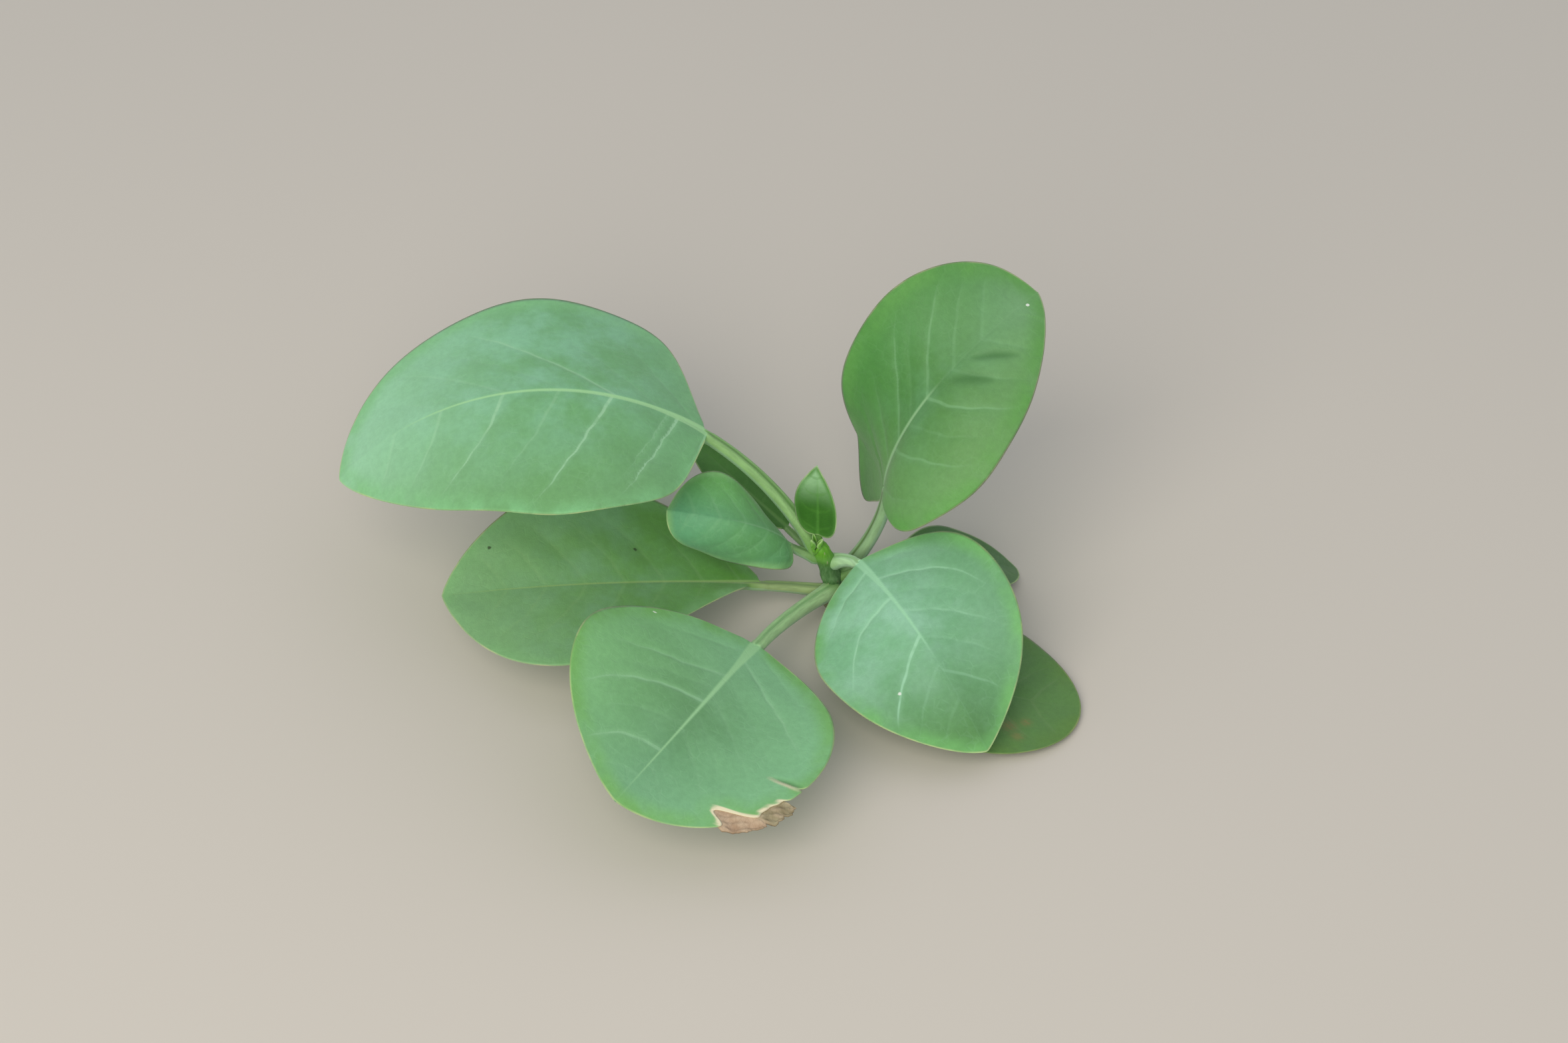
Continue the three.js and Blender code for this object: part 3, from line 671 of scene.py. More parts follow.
def blade_rings(leaf, s, columns, thick):
    """Upper and lower points in rows and columns, and the numbers that the finish reads."""
    c = columns[None] * (CENTRED + (1 - CENTRED) * np.abs(columns[None]))
    across, place, width = plan(leaf, s[:, None], c)
    forward = place * leaf["blade"]["length"]
    inner = np.clip(1 - np.abs(across) / np.maximum(width, 0.01), 0, 1)
    point, normal = blade_surface(leaf, across, place)
    furrow = RIB_FURROW * (1 - s[:, None]) * np.exp(-((across / FURROW_WIDTH) ** 2))
    shaped = point + normal * (relief(leaf, across, place, width) - furrow)[..., None]
    ending = np.clip((width - np.abs(across)) / EDGE, 0, 1)
    thickness = thick * np.sqrt(ending * (2 - ending))
    radius = leaf["stalk"]["radius"][1] * (RIB_LEFT + (1 - RIB_LEFT) * (1 - s) ** RIB_SLIMMING)
    ribbed = np.exp(-((across / (RIB_BLEND[0] * radius[:, None] + RIB_BLEND[1])) ** 2))
    deep = np.maximum((1 + SEAT) * radius - thick, 0.05)[:, None] * ribbed
    number, gap, shown = vein_place(leaf, across, place, width)
    from_vein = np.abs(number - np.round(number)) * gap
    veined = VEIN_RAISED * np.exp(-((from_vein / VEIN_WIDTH) ** 2)) * inner
    lower = shaped - normal * ((thickness + (deep + veined) * ending)[..., None])
    marks = dict(across=across, place=place, width=width, number=number, gap=gap, shown=shown)
    # how strongly painted shade darkens the creases
    marks["crease_shade"] = creased(leaf, across, forward)[1]
    marks["speck"] = specked(leaf, across, forward)
    return shaped, lower, marks, radius


def specked(leaf, across, forward):
    """Above 0 on a pale speck and below 0 on a dark one."""
    speck = np.zeros_like(forward)
    for x, y, size, sign in leaf.get("specks", ()):
        spot = np.exp(-((np.hypot(across - x, forward - y) / size) ** 2))
        speck = np.where(spot > np.abs(speck), sign * spot, speck)
    return speck


ends = np.array([0.05, 0.95])
rib_radius = blade_rings(LEAVES["front"], ends, np.linspace(-1, 1, 5), THICKNESS)[3]
print("radius of the front leaf's midrib near its foot and tip:", rib_radius.round(2), "mm")

# %% [markdown]
# ## One skin for the whole leaf
# The rows lie close together at the foot of the blade and at its tip, where the outline turns
# fast, and 0.3 to 0.6 mm apart between them. The same spacing everywhere would need many more
# faces for the same outline.

# %% Place the rows
FOOT_PART, TIP_PART = 0.05, 0.95  # of the blade's length
FOOT_ROWS, TIP_ROWS = 34, 28
FOOT_CROWDING, TIP_CROWDING = 2.5, 2.2  # 1 spreads these rows evenly, more crowds them at the end
STALK_STEP = 0.7  # mm between the rings of a stalk
EDGE_POINTS = 6  # along the margin for each row, to measure distances from


def row_places(leaf, spacing):
    foot = FOOT_PART * np.linspace(0, 1, FOOT_ROWS, endpoint=False) ** FOOT_CROWDING
    count = int((TIP_PART - FOOT_PART) * leaf["blade"]["length"] / spacing)
    middle = np.linspace(FOOT_PART, TIP_PART, count, endpoint=False)
    tip = 1 - (1 - TIP_PART) * np.linspace(1, 0.01, TIP_ROWS) ** TIP_CROWDING
    return np.concatenate([foot, middle, tip])


def rim_distance(marks, leaf):
    """Millimetres from each point of the blade to the nearest point of its margin."""
    forward = marks["place"] * leaf["blade"]["length"]
    rows = np.arange(len(forward))
    run = np.linspace(0, len(forward) - 1, EDGE_POINTS * len(forward))
    edges = []
    for column in (0, -1):
        edge_across = np.interp(run, rows, marks["across"][:, column])
        edges.append(np.stack([edge_across, np.interp(run, rows, forward[:, column])], -1))
    edge = np.concatenate(edges)
    tree = kdtree.KDTree(len(edge))
    for i, (x, y) in enumerate(edge):
        tree.insert((x, y, 0), i)
    tree.balance()
    points = zip(marks["across"].ravel(), forward.ravel())
    return np.array([tree.find((x, y, 0))[2] for x, y in points]).reshape(forward.shape)


print("rows on the front blade at 0.28 mm:", len(row_places(LEAVES["front"], 0.28)))

# %% Join stalk and blade
OPENING = 0.9, 1.4  # half-width from which the sheet opens, and over which, in radii of the rib


def leaf_rings(leaf, half_columns, spacing, thick):
    columns = np.linspace(-1, 1, 2 * half_columns + 1)
    s = row_places(leaf, spacing)
    stalk_rows = max(9, int(leaf["stalk"]["length"] / STALK_STEP))
    angles = np.pi / 2 * (1 - columns)
    upper_rod, stalk_radius, before = stalk_rings(leaf, stalk_rows, angles)
    lower_rod = stalk_rings(leaf, stalk_rows, -angles)[0]

    upper, lower, marks, radius = blade_rings(leaf, s, columns, thick)
    side, up = limb_frame(leaf["blade"], s)[1:]
    line_point = point_on(leaf["midrib"], s)
    spread = eased((marks["width"] - OPENING[0] * radius[:, None]) / (OPENING[1] * radius[:, None]))
    mixed = []
    for sheet, turned in ((upper, angles), (lower, -angles)):
        rib = rod(line_point, side, up, radius, SEAT * radius, turned)
        mixed.append(rib + (sheet - rib) * spread[..., None])
    tops = np.concatenate([upper_rod, mixed[0]])
    bottoms = np.concatenate([lower_rod, mixed[1]])

    rod_across = stalk_radius[:, None] * np.cos(angles)[None]
    rib_across = radius[:, None] * np.cos(angles)[None]
    shape = rod_across.shape
    outward = np.clip(np.abs(marks["across"]) / np.maximum(marks["width"], 0.01), 0, 1)
    on_rod = dict(
        across_mm=rod_across, along_mm=np.broadcast_to(before[:, None], shape), vein_number=0.5,
        vein_gap_mm=FAR, vein_shown=0, outward=0, blade=0, rim_mm=FAR, crease_shade=0, speck=0,
    )
    on_blade = dict(
        across_mm=rib_across + (marks["across"] - rib_across) * spread,
        along_mm=marks["place"] * leaf["blade"]["length"],
        vein_number=marks["number"], vein_gap_mm=marks["gap"], vein_shown=marks["shown"],
        outward=outward, blade=spread, rim_mm=FAR + (rim_distance(marks, leaf) - FAR) * spread,
        crease_shade=marks["crease_shade"], speck=marks["speck"],
    )
    numbers = {}
    for key, value in on_rod.items():
        numbers[key] = np.concatenate([np.broadcast_to(value, shape), on_blade[key]])
    return tops, bottoms, numbers


print("rings of a coarse young leaf:", len(leaf_rings(LEAVES["young"], 8, 1, THICKNESS)[0]))

# %% [markdown]
# ## From rings to a mesh
# The rings are joined by rows of quads, and each end closes to a point. Every point carries its
# numbers along as attributes: how far it is from the midrib, from the blade's foot and from the
# margin, and which vein is near. Image textures would need painting. With attributes, the finish
# is drawn from real distances in millimetres.


# %% Skin a row of rings
def skin(name, rings, attributes):
    rows, around = rings.shape[:2]
    ends = [rings[0].mean(axis=0), rings[-1].mean(axis=0)]
    points = np.concatenate([rings.reshape(-1, 3), ends])
    ring, k = np.meshgrid(np.arange(rows - 1), np.arange(around), indexing="ij")
    after = (k + 1) % around
    low, high = ring * around, (ring + 1) * around
    quads = np.stack([low + k, low + after, high + after, high + k], -1).reshape(-1, 4)
    start, end = rows * around, rows * around + 1
    last = (rows - 1) * around
    caps = [(start, (a + 1) % around, a) for a in range(around)]
    caps += [(end, last + a, last + (a + 1) % around) for a in range(around)]
    mesh = bpy.data.meshes.new(name)
    mesh.from_pydata((points * MM).tolist(), [], quads.tolist() + caps)
    mesh.polygons.foreach_set("use_smooth", np.ones(len(mesh.polygons), bool))
    for attribute, values in attributes.items():
        data = mesh.attributes.new(attribute, "FLOAT", "POINT")
        ends = [values[0].mean(), values[-1].mean()]
        data.data.foreach_set("value", np.concatenate([values.ravel(), ends]).astype(np.float32))
    lay_out(mesh, rings)
    return mesh


# %% Lay the skin out flat
FAN = 0.01  # of the layout's height, for the triangles that close each end


def lay_out(mesh, rings):
    """A flat layout of the skin for baking: rows upwards and round the ring from left to right."""
    rows, around = rings.shape[:2]
    travel = np.linalg.norm(np.diff(rings.mean(axis=1), axis=0), axis=1)
    height = np.concatenate([[0], np.cumsum(np.maximum(travel, travel.mean() / 5))])
    height = FAN + (1 - 2 * FAN) * height / height[-1]
    ring, k = np.meshgrid(np.arange(rows - 1), np.arange(around), indexing="ij")
    left, right = k / around, (k + 1) / around
    low, high = height[ring], height[ring + 1]
    quads = np.stack([left, low, right, low, right, high, left, high], -1).reshape(-1)
    turn = np.arange(around)
    left, right = turn / around, (turn + 1) / around
    middle = (left + right) / 2
    bottom, top = 0 * turn, 0 * turn + 1
    first = np.stack([middle, bottom, right, bottom + FAN, left, bottom + FAN], -1)
    last = np.stack([middle, top, left, top - FAN, right, top - FAN], -1)
    flat = np.concatenate([quads, first.ravel(), last.ravel()]).astype(np.float32)
    mesh.uv_layers.new(name="OFBake").uv.foreach_set("vector", flat)


def show(name, mesh, material, slot, *nodes):
    piece = bpy.data.objects.new(name, mesh)
    piece.data.materials.append(material)
    bpy.context.scene.collection.objects.link(piece)
    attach(piece, "root")
    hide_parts(*nodes)
    print(name, "has", len(mesh.polygons), "faces")


# %% [markdown]
# ## The finish of a leaf
# A tree tobacco leaf is smooth and hairless, with a bloom of fine wax that makes it grey-green
# and matt. The wax is thickest over the middle of the blade, thinner near the margin and in the
# newest leaves, where the green under it shows. The midrib is a pale band, one to three
# millimetres wide where it leaves the stalk and a fine line near the tip. The side veins are pale
# lines of half a millimetre and less, the finest veins make a faint net with meshes of about two
# millimetres, and the margin itself is a pale thread. The eye sees all of this as small steps in
# colour and hardly any in shine, so the work goes into the colour, and the roughness is nearly
# the same all over.
#
# The noises are laid out on the leaf in millimetres, so the scale of each is how many of its
# patches or grains there are to a millimetre.


# %% Read the leaf's numbers
def leaf_marks(tree):
    names = ["across_mm", "along_mm", "vein_number", "vein_gap_mm", "vein_shown", "outward", "blade"]
    names += ["rim_mm", "crease_shade", "speck", "under", "scar"]
    marks = {name: add(tree, "Attribute", {}, output=2, attribute_name=name) for name in names}
    place = {"X": marks["across_mm"], "Y": marks["along_mm"], "Z": marks["under"]}
    marks["plan"] = add(tree, "CombineXYZ", place)
    return marks


# %% Draw the veins
RIB_HALF_WIDTH = 0.6  # mm, of the pale midrib on most leaves
RIB_TIP_WIDTH = 0.13  # mm, half its width near the tip
RIB_FOOT = 0.5, 16  # mm more in half-width where it leaves the stalk, and mm over which that is lost
RIB_FADE, RIB_FAINT = 0.75, 0.12  # of its length, where it starts to fade, and what is left of it
VEIN_HALF_WIDTH = 0.27, 0.1  # mm, beside the midrib and near the margin
VEIN_THIN = 0.7  # of the way to the margin, where a side vein has got as thin as it gets
SOFT = 0.25  # mm over which a vein's colour ends
RIB_BLUR, VEIN_BLUR = 0.35, 0.06  # mm before its edge, where that starts on the midrib and a side vein
# The paler band beside each vein is painted light standing for the slopes of the quilting.
QUILT_LIGHT_REACH = 1.4  # mm on each side of a vein that are a little paler
BREAKS, BREAK_LEFT = 0.3, 0.45  # per mm: a side vein pales to this share every 3 mm or so
MESH_OF_VEINS = 2.2  # mm, between the finest veins that the eye can make out
NET_LINE = 0.01, 0.12  # where one of these starts to fade and ends, over the mesh
NET_WARP, NET_PATCHES = 0.5, 0.25  # per mm: the net bends every 2 mm and shows in patches of 4 mm


def vein_masks(tree, marks, length, tones):
    along = marks["along_mm"]
    rib_width = add(tree, "MapRange", (along, 0, length * 0.9, tones["rib_mm"], RIB_TIP_WIDTH), **SMOOTH)
    foot_width = RIB_FOOT[0] * tones["rib_mm"] / RIB_HALF_WIDTH
    widening = add(tree, "MapRange", (along, 0, RIB_FOOT[1], foot_width, 0), **SMOOTH)
    rib_width = add(tree, "Math", (rib_width, widening), operation="ADD")
    from_midrib = add(tree, "Math", (marks["across_mm"],), operation="ABSOLUTE")
    beside = add(tree, "Math", (from_midrib, rib_width), operation="SUBTRACT")
    rib = add(tree, "MapRange", (beside, -RIB_BLUR, SOFT, 1, 0), **SMOOTH)
    rib_end = length * tones["rib_end"]
    fading = add(tree, "MapRange", (along, rib_end * RIB_FADE, rib_end, 1, RIB_FAINT), **SMOOTH)
    rib = add(tree, "Math", (rib, fading), **TIMES)

    apart = add(tree, "Math", (marks["vein_number"], 0.5), operation="PINGPONG")
    distance = add(tree, "Math", (apart, marks["vein_gap_mm"]), **TIMES)
    width = add(tree, "MapRange", (marks["outward"], 0, VEIN_THIN, *VEIN_HALF_WIDTH), **SMOOTH)
    near = add(tree, "Math", (distance, width), operation="SUBTRACT")
    side = add(tree, "MapRange", (near, -VEIN_BLUR, SOFT, 1, 0), **SMOOTH)
    side = add(tree, "Math", (side, marks["vein_shown"]), **TIMES)
    broken = add(tree, "TexNoise", {"Vector": marks["plan"], "Scale": BREAKS, "Detail": 1.0})
    broken = add(tree, "MapRange", (broken, 0.32, 0.5, BREAK_LEFT, 1), **SMOOTH)
    side = add(tree, "Math", (side, broken), **TIMES)
    # Painted light of the quilting: a paler band on each side of a vein.
    glow = add(tree, "MapRange", (distance, 0, QUILT_LIGHT_REACH, 1, 0), **SMOOTH)
    glow = add(tree, "Math", (glow, marks["vein_shown"]), **TIMES)

    warped = add(tree, "TexNoise", {"Vector": marks["plan"], "Scale": NET_WARP}, output=1)
    warped = add(tree, "MixRGB", (0.5, marks["plan"], warped), blend_type="ADD")
    cells = {"Vector": warped, "Scale": 1 / MESH_OF_VEINS}
    net = add(tree, "TexVoronoi", cells, feature="DISTANCE_TO_EDGE")
    net = add(tree, "MapRange", (net, *NET_LINE, 1, 0), **SMOOTH)
    patches = add(tree, "TexNoise", {"Vector": marks["plan"], "Scale": NET_PATCHES})
    patches = add(tree, "MapRange", (patches, 0.4, 0.65, 0, 1), **SMOOTH)
    net = add(tree, "Math", (net, patches), **TIMES)
    return dict(rib=rib, side=side, glow=glow, net=net)


print("the finest veins lie", MESH_OF_VEINS, "mm apart")

# %% Mix the blade's colours
WAX_PATCHES = 0.07  # per mm: thicker and thinner wax change about every 14 mm
WORN_PATCHES = 0.11  # per mm: along the margin it is worn in patches of about 9 mm
WORN_FROM, WORN_SHARE = 0.3, 0.9  # mm from the rim up to which it is worn most, and how much
MOTTLE = 0.7  # per mm: and everywhere there are small clouds of about 1.4 mm
MOTTLE_TONES = 0.95, 1.05  # times the tone, in the darkest and the palest of them
FOOT_REACH = 0.35  # of the blade's length that the tone of its foot reaches, if no other is named
TIP_START = 0.35  # of the blade's length, where the tone of its tip sets in
VEIN_SHARES = dict(glow=0.16, net=0.06, side=0.66, rib=0.85)  # how much of its tone each mask adds


def leaf_colour(tree, marks, veins, tones, length):
    plan, along = marks["plan"], marks["along_mm"]
    patches = {"Vector": plan, "Scale": WAX_PATCHES, "Detail": 3.0, "Roughness": 0.6}
    bloom = add(tree, "TexNoise", patches)
    bloom = add(tree, "MapRange", (bloom, 0.35, 0.65, 0, 1), **SMOOTH)
    colour = add(tree, "MixRGB", (bloom, linear(tones["green"]), linear(tones["bloom"])))
    # The foot tone is painted light on the front leaf and painted shade on the lower left one.
    if "foot" in tones:
        reach = length * tones.get("foot_reach", FOOT_REACH)
        foot = add(tree, "MapRange", (along, 0, reach, 1, 0), **SMOOTH)
        colour = add(tree, "MixRGB", (foot, colour, linear(tones["foot"])))
    # The tip tone is partly painted sky sheen on the upper left leaf and painted shade on the right one.
    tip = add(tree, "MapRange", (along, length * TIP_START, length, 0, 1), **SMOOTH)
    colour = add(tree, "MixRGB", (tip, colour, linear(tones["tip"])))
    # A darker left side tone is painted shade on the upper left, right and upper right leaves.
    for hand, sign in (("left_side", -1), ("right_side", 1)):
        if hand in tones:
            share = add(tree, "MapRange", (marks["across_mm"], 0, sign * tones["side_mm"]))
            colour = add(tree, "MixRGB", (share, colour, linear(tones[hand])))
    from_rim = (marks["rim_mm"], WORN_FROM, tones["edge_mm"], WORN_SHARE, 0)
    worn = add(tree, "MapRange", from_rim, **SMOOTH)
    patchy = add(tree, "TexNoise", {"Vector": plan, "Scale": WORN_PATCHES, "Detail": 2.0})
    patchy = add(tree, "MapRange", (patchy, 0.35, 0.6, 0.3, 1), **SMOOTH)
    worn = add(tree, "Math", (worn, patchy), **TIMES)
    colour = add(tree, "MixRGB", (worn, colour, linear(tones["edge"])))
    clouds = {"Vector": plan, "Scale": MOTTLE, "Detail": 4.0, "Roughness": 0.7}
    mottle = add(tree, "TexNoise", clouds)
    mottle = add(tree, "MapRange", (mottle, 0.3, 0.7, *MOTTLE_TONES), **SMOOTH)
    colour = add(tree, "MixRGB", (1.0, colour, mottle), blend_type="MULTIPLY")
    for mask, share in VEIN_SHARES.items():
        tone = linear(tones["rib" if mask == "rib" else "vein"])
        drawn = add(tree, "Math", (veins[mask], share * tones.get(mask + "_share", 1)), **TIMES)
        colour = add(tree, "MixRGB", (drawn, colour, tone))
    return colour


# %% Add stalk, underside, margin and scars
GROOVE_TONE = 0.15, 0.75  # mm from the groove's middle, where its tone starts to fade and ends
JOINT, JOINT_SHARE = 3.5, 0.75  # mm over which a stalk turns as green as the stem, and how much
FIBRES = 2.5, 0.25, 1  # per mm: the stalk's streaks are 0.4 mm wide and 4 mm long
FIBRE_TONES = 0.88, 1.1  # times the tone, in the darkest and the palest of them
OPENED = 6  # mm of the blade over which the stalk's colour gives way to the blade's
# The crease share is how much painted shade darkens a crease.
UNDER_SHARE, CREASE_SHADE_SHARE = 0.45, 0.65  # how much of their tone these two take
THREAD = 0.12, 0.45, 0.85  # mm from the rim where the pale thread starts to fade and ends, and its share
THREAD_BREAKS = 0.16  # per mm: it pales and shows again about every 6 mm
PALE_SPECK, DARK_SPECK = "#e9efe0", "#2c3a1c"  # a grain of dust or a bite, and a pinprick of rot
SPECK_EDGE = 0.3, 0.6  # of its mark, where a speck starts and has its full tone
PALE_SHARE, DARK_SHARE = 0.9, 0.8  # how much of that tone they take


def stalk_colour(tree, marks, tones, stalk_length):
    """Pale on its round sides, darker in its groove, and green where it joins the stem."""
    ridge = add(tree, "Math", (marks["across_mm"],), operation="ABSOLUTE")
    ridge = add(tree, "MapRange", (ridge, *GROOVE_TONE, 0, 1), **SMOOTH)
    colour = add(tree, "MixRGB", (ridge, linear(tones["groove"]), linear(tones["stalk"])))
    stretched = add(tree, "VectorMath", (marks["plan"], FIBRES), **TIMES)
    streak = add(tree, "TexNoise", {"Vector": stretched, "Scale": 1.0, "Detail": 3.0})
    streak = add(tree, "MapRange", (streak, 0.3, 0.7, *FIBRE_TONES), **SMOOTH)
    colour = add(tree, "MixRGB", (1.0, colour, streak), blend_type="MULTIPLY")
    reach = tones.get("joint_mm", JOINT) - stalk_length
    from_stem = (marks["along_mm"], -stalk_length, reach, JOINT_SHARE, 0)
    joined = add(tree, "MapRange", from_stem, **SMOOTH)
    return add(tree, "MixRGB", (joined, colour, linear(tones["joint"])))


def whole_colour(tree, marks, blade, stalk, tones):
    opened = add(tree, "MapRange", (marks["along_mm"], 0, OPENED))
    opened = add(tree, "Math", (opened, marks["blade"]), operation="MAXIMUM")
    colour = add(tree, "MixRGB", (opened, stalk, blade))
    under = add(tree, "Math", (marks["under"], UNDER_SHARE), **TIMES)
    colour = add(tree, "MixRGB", (under, colour, linear(tones["under"])))
    # Painted shade darkens the creases.
    crease_shade = add(tree, "Math", (marks["crease_shade"], CREASE_SHADE_SHARE), **TIMES)
    colour = add(tree, "MixRGB", (crease_shade, colour, linear(tones["crease_shade"])))
    rim = add(tree, "MapRange", (marks["rim_mm"], *THREAD, 0), **SMOOTH)
    thread = add(tree, "TexNoise", {"Vector": marks["plan"], "Scale": THREAD_BREAKS})
    thread = add(tree, "MapRange", (thread, 0.4, 0.6, 0.4, 1), **SMOOTH)
    rim = add(tree, "Math", (rim, thread), **TIMES)
    colour = add(tree, "MixRGB", (rim, colour, linear(tones["margin"])))
    start, full = SPECK_EDGE
    pale = add(tree, "MapRange", (marks["speck"], start, full, 0, PALE_SHARE), **SMOOTH)
    colour = add(tree, "MixRGB", (pale, colour, linear(PALE_SPECK)))
    dark = add(tree, "MapRange", (marks["speck"], -start, -full, 0, DARK_SHARE), **SMOOTH)
    colour = add(tree, "MixRGB", (dark, colour, linear(DARK_SPECK)))
    return add(tree, "MixRGB", (marks["scar"], colour, linear(tones["scar"])))


# %% Put the leaf's finish together
GRAINS = 3  # per mm: the cells of the skin, drawn coarser than they are so that they show
GRAIN_HEIGHT, NET_SUNK = 0.12, 0.6  # mm, of the bump that they make, and how deep the net lies in it
ROUGHNESS = 0.5, 0.64  # matt wax, and a little duller on its grains


def waxy_leaf(name, tones, leaf):
    """A living leaf under a bloom of wax: matt, smooth, grey-green, with pale thin veins."""
    material = bpy.data.materials.new(name)
    material.use_nodes = True
    tree = material.node_tree
    marks = leaf_marks(tree)
    length = leaf["blade"]["length"]
    veins = vein_masks(tree, marks, length, tones)
    blade = leaf_colour(tree, marks, veins, tones, length)
    stalk = stalk_colour(tree, marks, tones, leaf["stalk"]["length"])
    colour = whole_colour(tree, marks, blade, stalk, tones)
    grain = add(tree, "TexNoise", {"Vector": marks["plan"], "Scale": GRAINS, "Detail": 3.0})
    height = add(tree, "Math", (veins["net"], -NET_SUNK, grain), operation="MULTIPLY_ADD")
    bump = add(tree, "Bump", {"Height": height, "Strength": 0.35, "Distance": GRAIN_HEIGHT * MM})
    roughness = add(tree, "MapRange", (grain, 0.3, 0.7, *ROUGHNESS), **SMOOTH)
    shader = tree.nodes["Principled BSDF"]
    shader.inputs["IOR"].default_value = 1.45
    shader.inputs["Specular IOR Level"].default_value = 0.35
    shader.inputs["Sheen Weight"].default_value = 0.12
    shader.inputs["Sheen Roughness"].default_value = 0.5
    tree.links.new(colour, shader.inputs["Base Color"])
    tree.links.new(roughness, shader.inputs["Roughness"])
    tree.links.new(bump, shader.inputs["Normal"])
    return material


# %% [markdown]
# ## The tones of each leaf
# The leaves aren't all one green. The big upper ones have the thickest wax and face the sky, so
# they are blue-grey, and on the upper left and the right one that blue-grey is partly painted
# sheen of the sky. The lower ones are older and have less of it, and the tones of the lower right
# and back right leaves also hold painted shade. Some foot, tip and side tones are painted light
# and shade too, as noted at each leaf. The youngest has hardly any wax yet and is a clear,
# saturated green. Painting each leaf alone would do, but a shared set of tones with a few changes
# for each leaf is quicker to match and to mend. A value that ends in mm is a distance, one that
# ends in share makes a mask stronger or weaker, and rib_end and foot_reach are how far along the
# blade the midrib shows and the tone of its foot reaches.

# %% Choose the tones
# The crease tone is painted shade that darkens each crease.
COMMON = dict(
    vein="#a8d8aa", rib="#a6d8a4", rib_mm=RIB_HALF_WIDTH, rib_end=0.85, margin="#b4c98a", edge_mm=6.0,
    scar="#e6dcb8", crease_shade="#3f7036", under="#8fb597", groove="#6a8f52", stalk="#86ab70", joint="#5c8b3e",
)
TONES = {
    # The upper left leaf's pale blue-grey bloom and tip are partly thick wax and partly painted sheen of the
    # sky; its darker left side tone is painted shade where the lower lobe curves down.
    "upper_left": dict(
        green="#70ac70", bloom="#84bf93", foot="#73ae75", tip="#96cca1", edge="#80bf80", groove="#6a9850",
        stalk="#8cb573", left_side="#6fa465", side_mm=34, rib="#a8dc9a", rib_mm=0.8,
        joint="#6a9c46", joint_mm=8,
    ),
    "middle_left": dict(
        green="#5f995b", bloom="#5f9864", tip="#68aa7c", edge="#86bc78", vein="#86bc88", rib_mm=0.3,
        rib_end=0.6, rib_share=0.3, edge_mm=2.4, right_side="#6cac5f", side_mm=9, net_share=3.0,
    ),
    # The lower left leaf's darker, more yellow foot tone is painted shade from the leaves that lie over its
    # foot.
    "lower_left": dict(
        green="#6b9e57", bloom="#79a97a", foot="#5a9735", tip="#7fad77", edge="#80b376", vein="#92ba7c",
        rib="#9dbd72", stalk="#93ab72", groove="#829f63", margin="#bcc190", rib_mm=0.5, rib_share=0.85,
        edge_mm=4.0, rib_end=1.0, foot_reach=0.55,
    ),
    # The front leaf's paler foot tone, which reaches far along the blade, is painted light against the shade
    # in its cupped foot.
    "front": dict(
        green="#58894f", bloom="#6c9c69", tip="#74a97b", edge="#74b05c", rib="#a2d49a", stalk="#a0c68b",
        groove="#84b273", left_side="#84be8a", right_side="#81bc7a", side_mm=26, edge_mm=5.0,
        side_share=0.5, rib_mm=0.74, rib_end=1.0, foot="#86bd8c", foot_reach=0.7,
    ),
    # The right leaf's blue-grey bloom is partly wax and partly painted sheen of the sky; its darker left side
    # tone is painted shade where that margin curves away, and its darker tip is painted shade where the blade
    # droops.
    "right": dict(
        green="#81bb8d", bloom="#97caa8", tip="#588b4b", edge="#74b668", rib="#a4dcae", vein="#a8dcb4",
        stalk="#afd6a5", groove="#98c888", left_side="#699d70", side_mm=22, rib_mm=0.55, rib_end=0.62,
        edge_mm=4.5, joint="#86b070",
    ),
    # The lower right leaf's dull dark tones are partly its older, less waxy skin and partly painted shade.
    "lower_right": dict(
        green="#52823e", bloom="#5c834b", tip="#5a8446", edge="#5c843c", vein="#6d9058", rib="#749660",
        margin="#8f9a62", stalk="#789a5c", scar="#94764c", rib_mm=0.35,
    ),
    # The upper right leaf's darker left side tone is painted shade on the ear that curls back behind the
    # stalk.
    "upper_right": dict(
        green="#497e39", bloom="#598d57", tip="#76a671", edge="#5f9c4a", vein="#84b682", rib="#94c08a",
        stalk="#8fb282", groove="#5d7f42", left_side="#4d8a40", right_side="#689958", side_mm=20,
        rib_end=0.5, side_share=0.6, margin="#a5b083", foot="#6a9c58",
    ),
    # The back right leaf's dark tones are partly its older skin with little wax and partly painted shade, as
    # it lies deep behind the others.
    "back_right": dict(
        green="#456e36", bloom="#4e7644", tip="#4a7240", edge="#4c763a", vein="#669054", rib="#6c965a",
        rib_mm=0.35,
    ),
    "back_left": dict(
        green="#43762c", bloom="#4d7f34", tip="#5c9440", edge="#44752c", vein="#5c8a44", rib="#648f4a",
        rib_mm=0.3,
    ),
    "young": dict(
        green="#316916", bloom="#3e7422", tip="#a8d4a0", edge="#4f8a34", vein="#4f8a2e", rib="#5c9a3c",
        margin="#b8cc98", under="#5f9048", stalk="#5c8a34", groove="#4c7a2c", edge_mm=1.6, rib_mm=0.25,
        rib_share=0.4,
    ),
}
print("finishes:", ", ".join(TONES))

# %% [markdown]
# ## Old damage
# A thread of pale cork has healed the eaten margin of the front leaf and lines the slit beside
# it, and the lower right leaf has brown stains of rot. All of it could be painted on pictures of
# the leaves. Here it is one more number at each point of the mesh, worked out from the same
# millimetres as the veins, so it stays in place when a leaf's shape is changed.

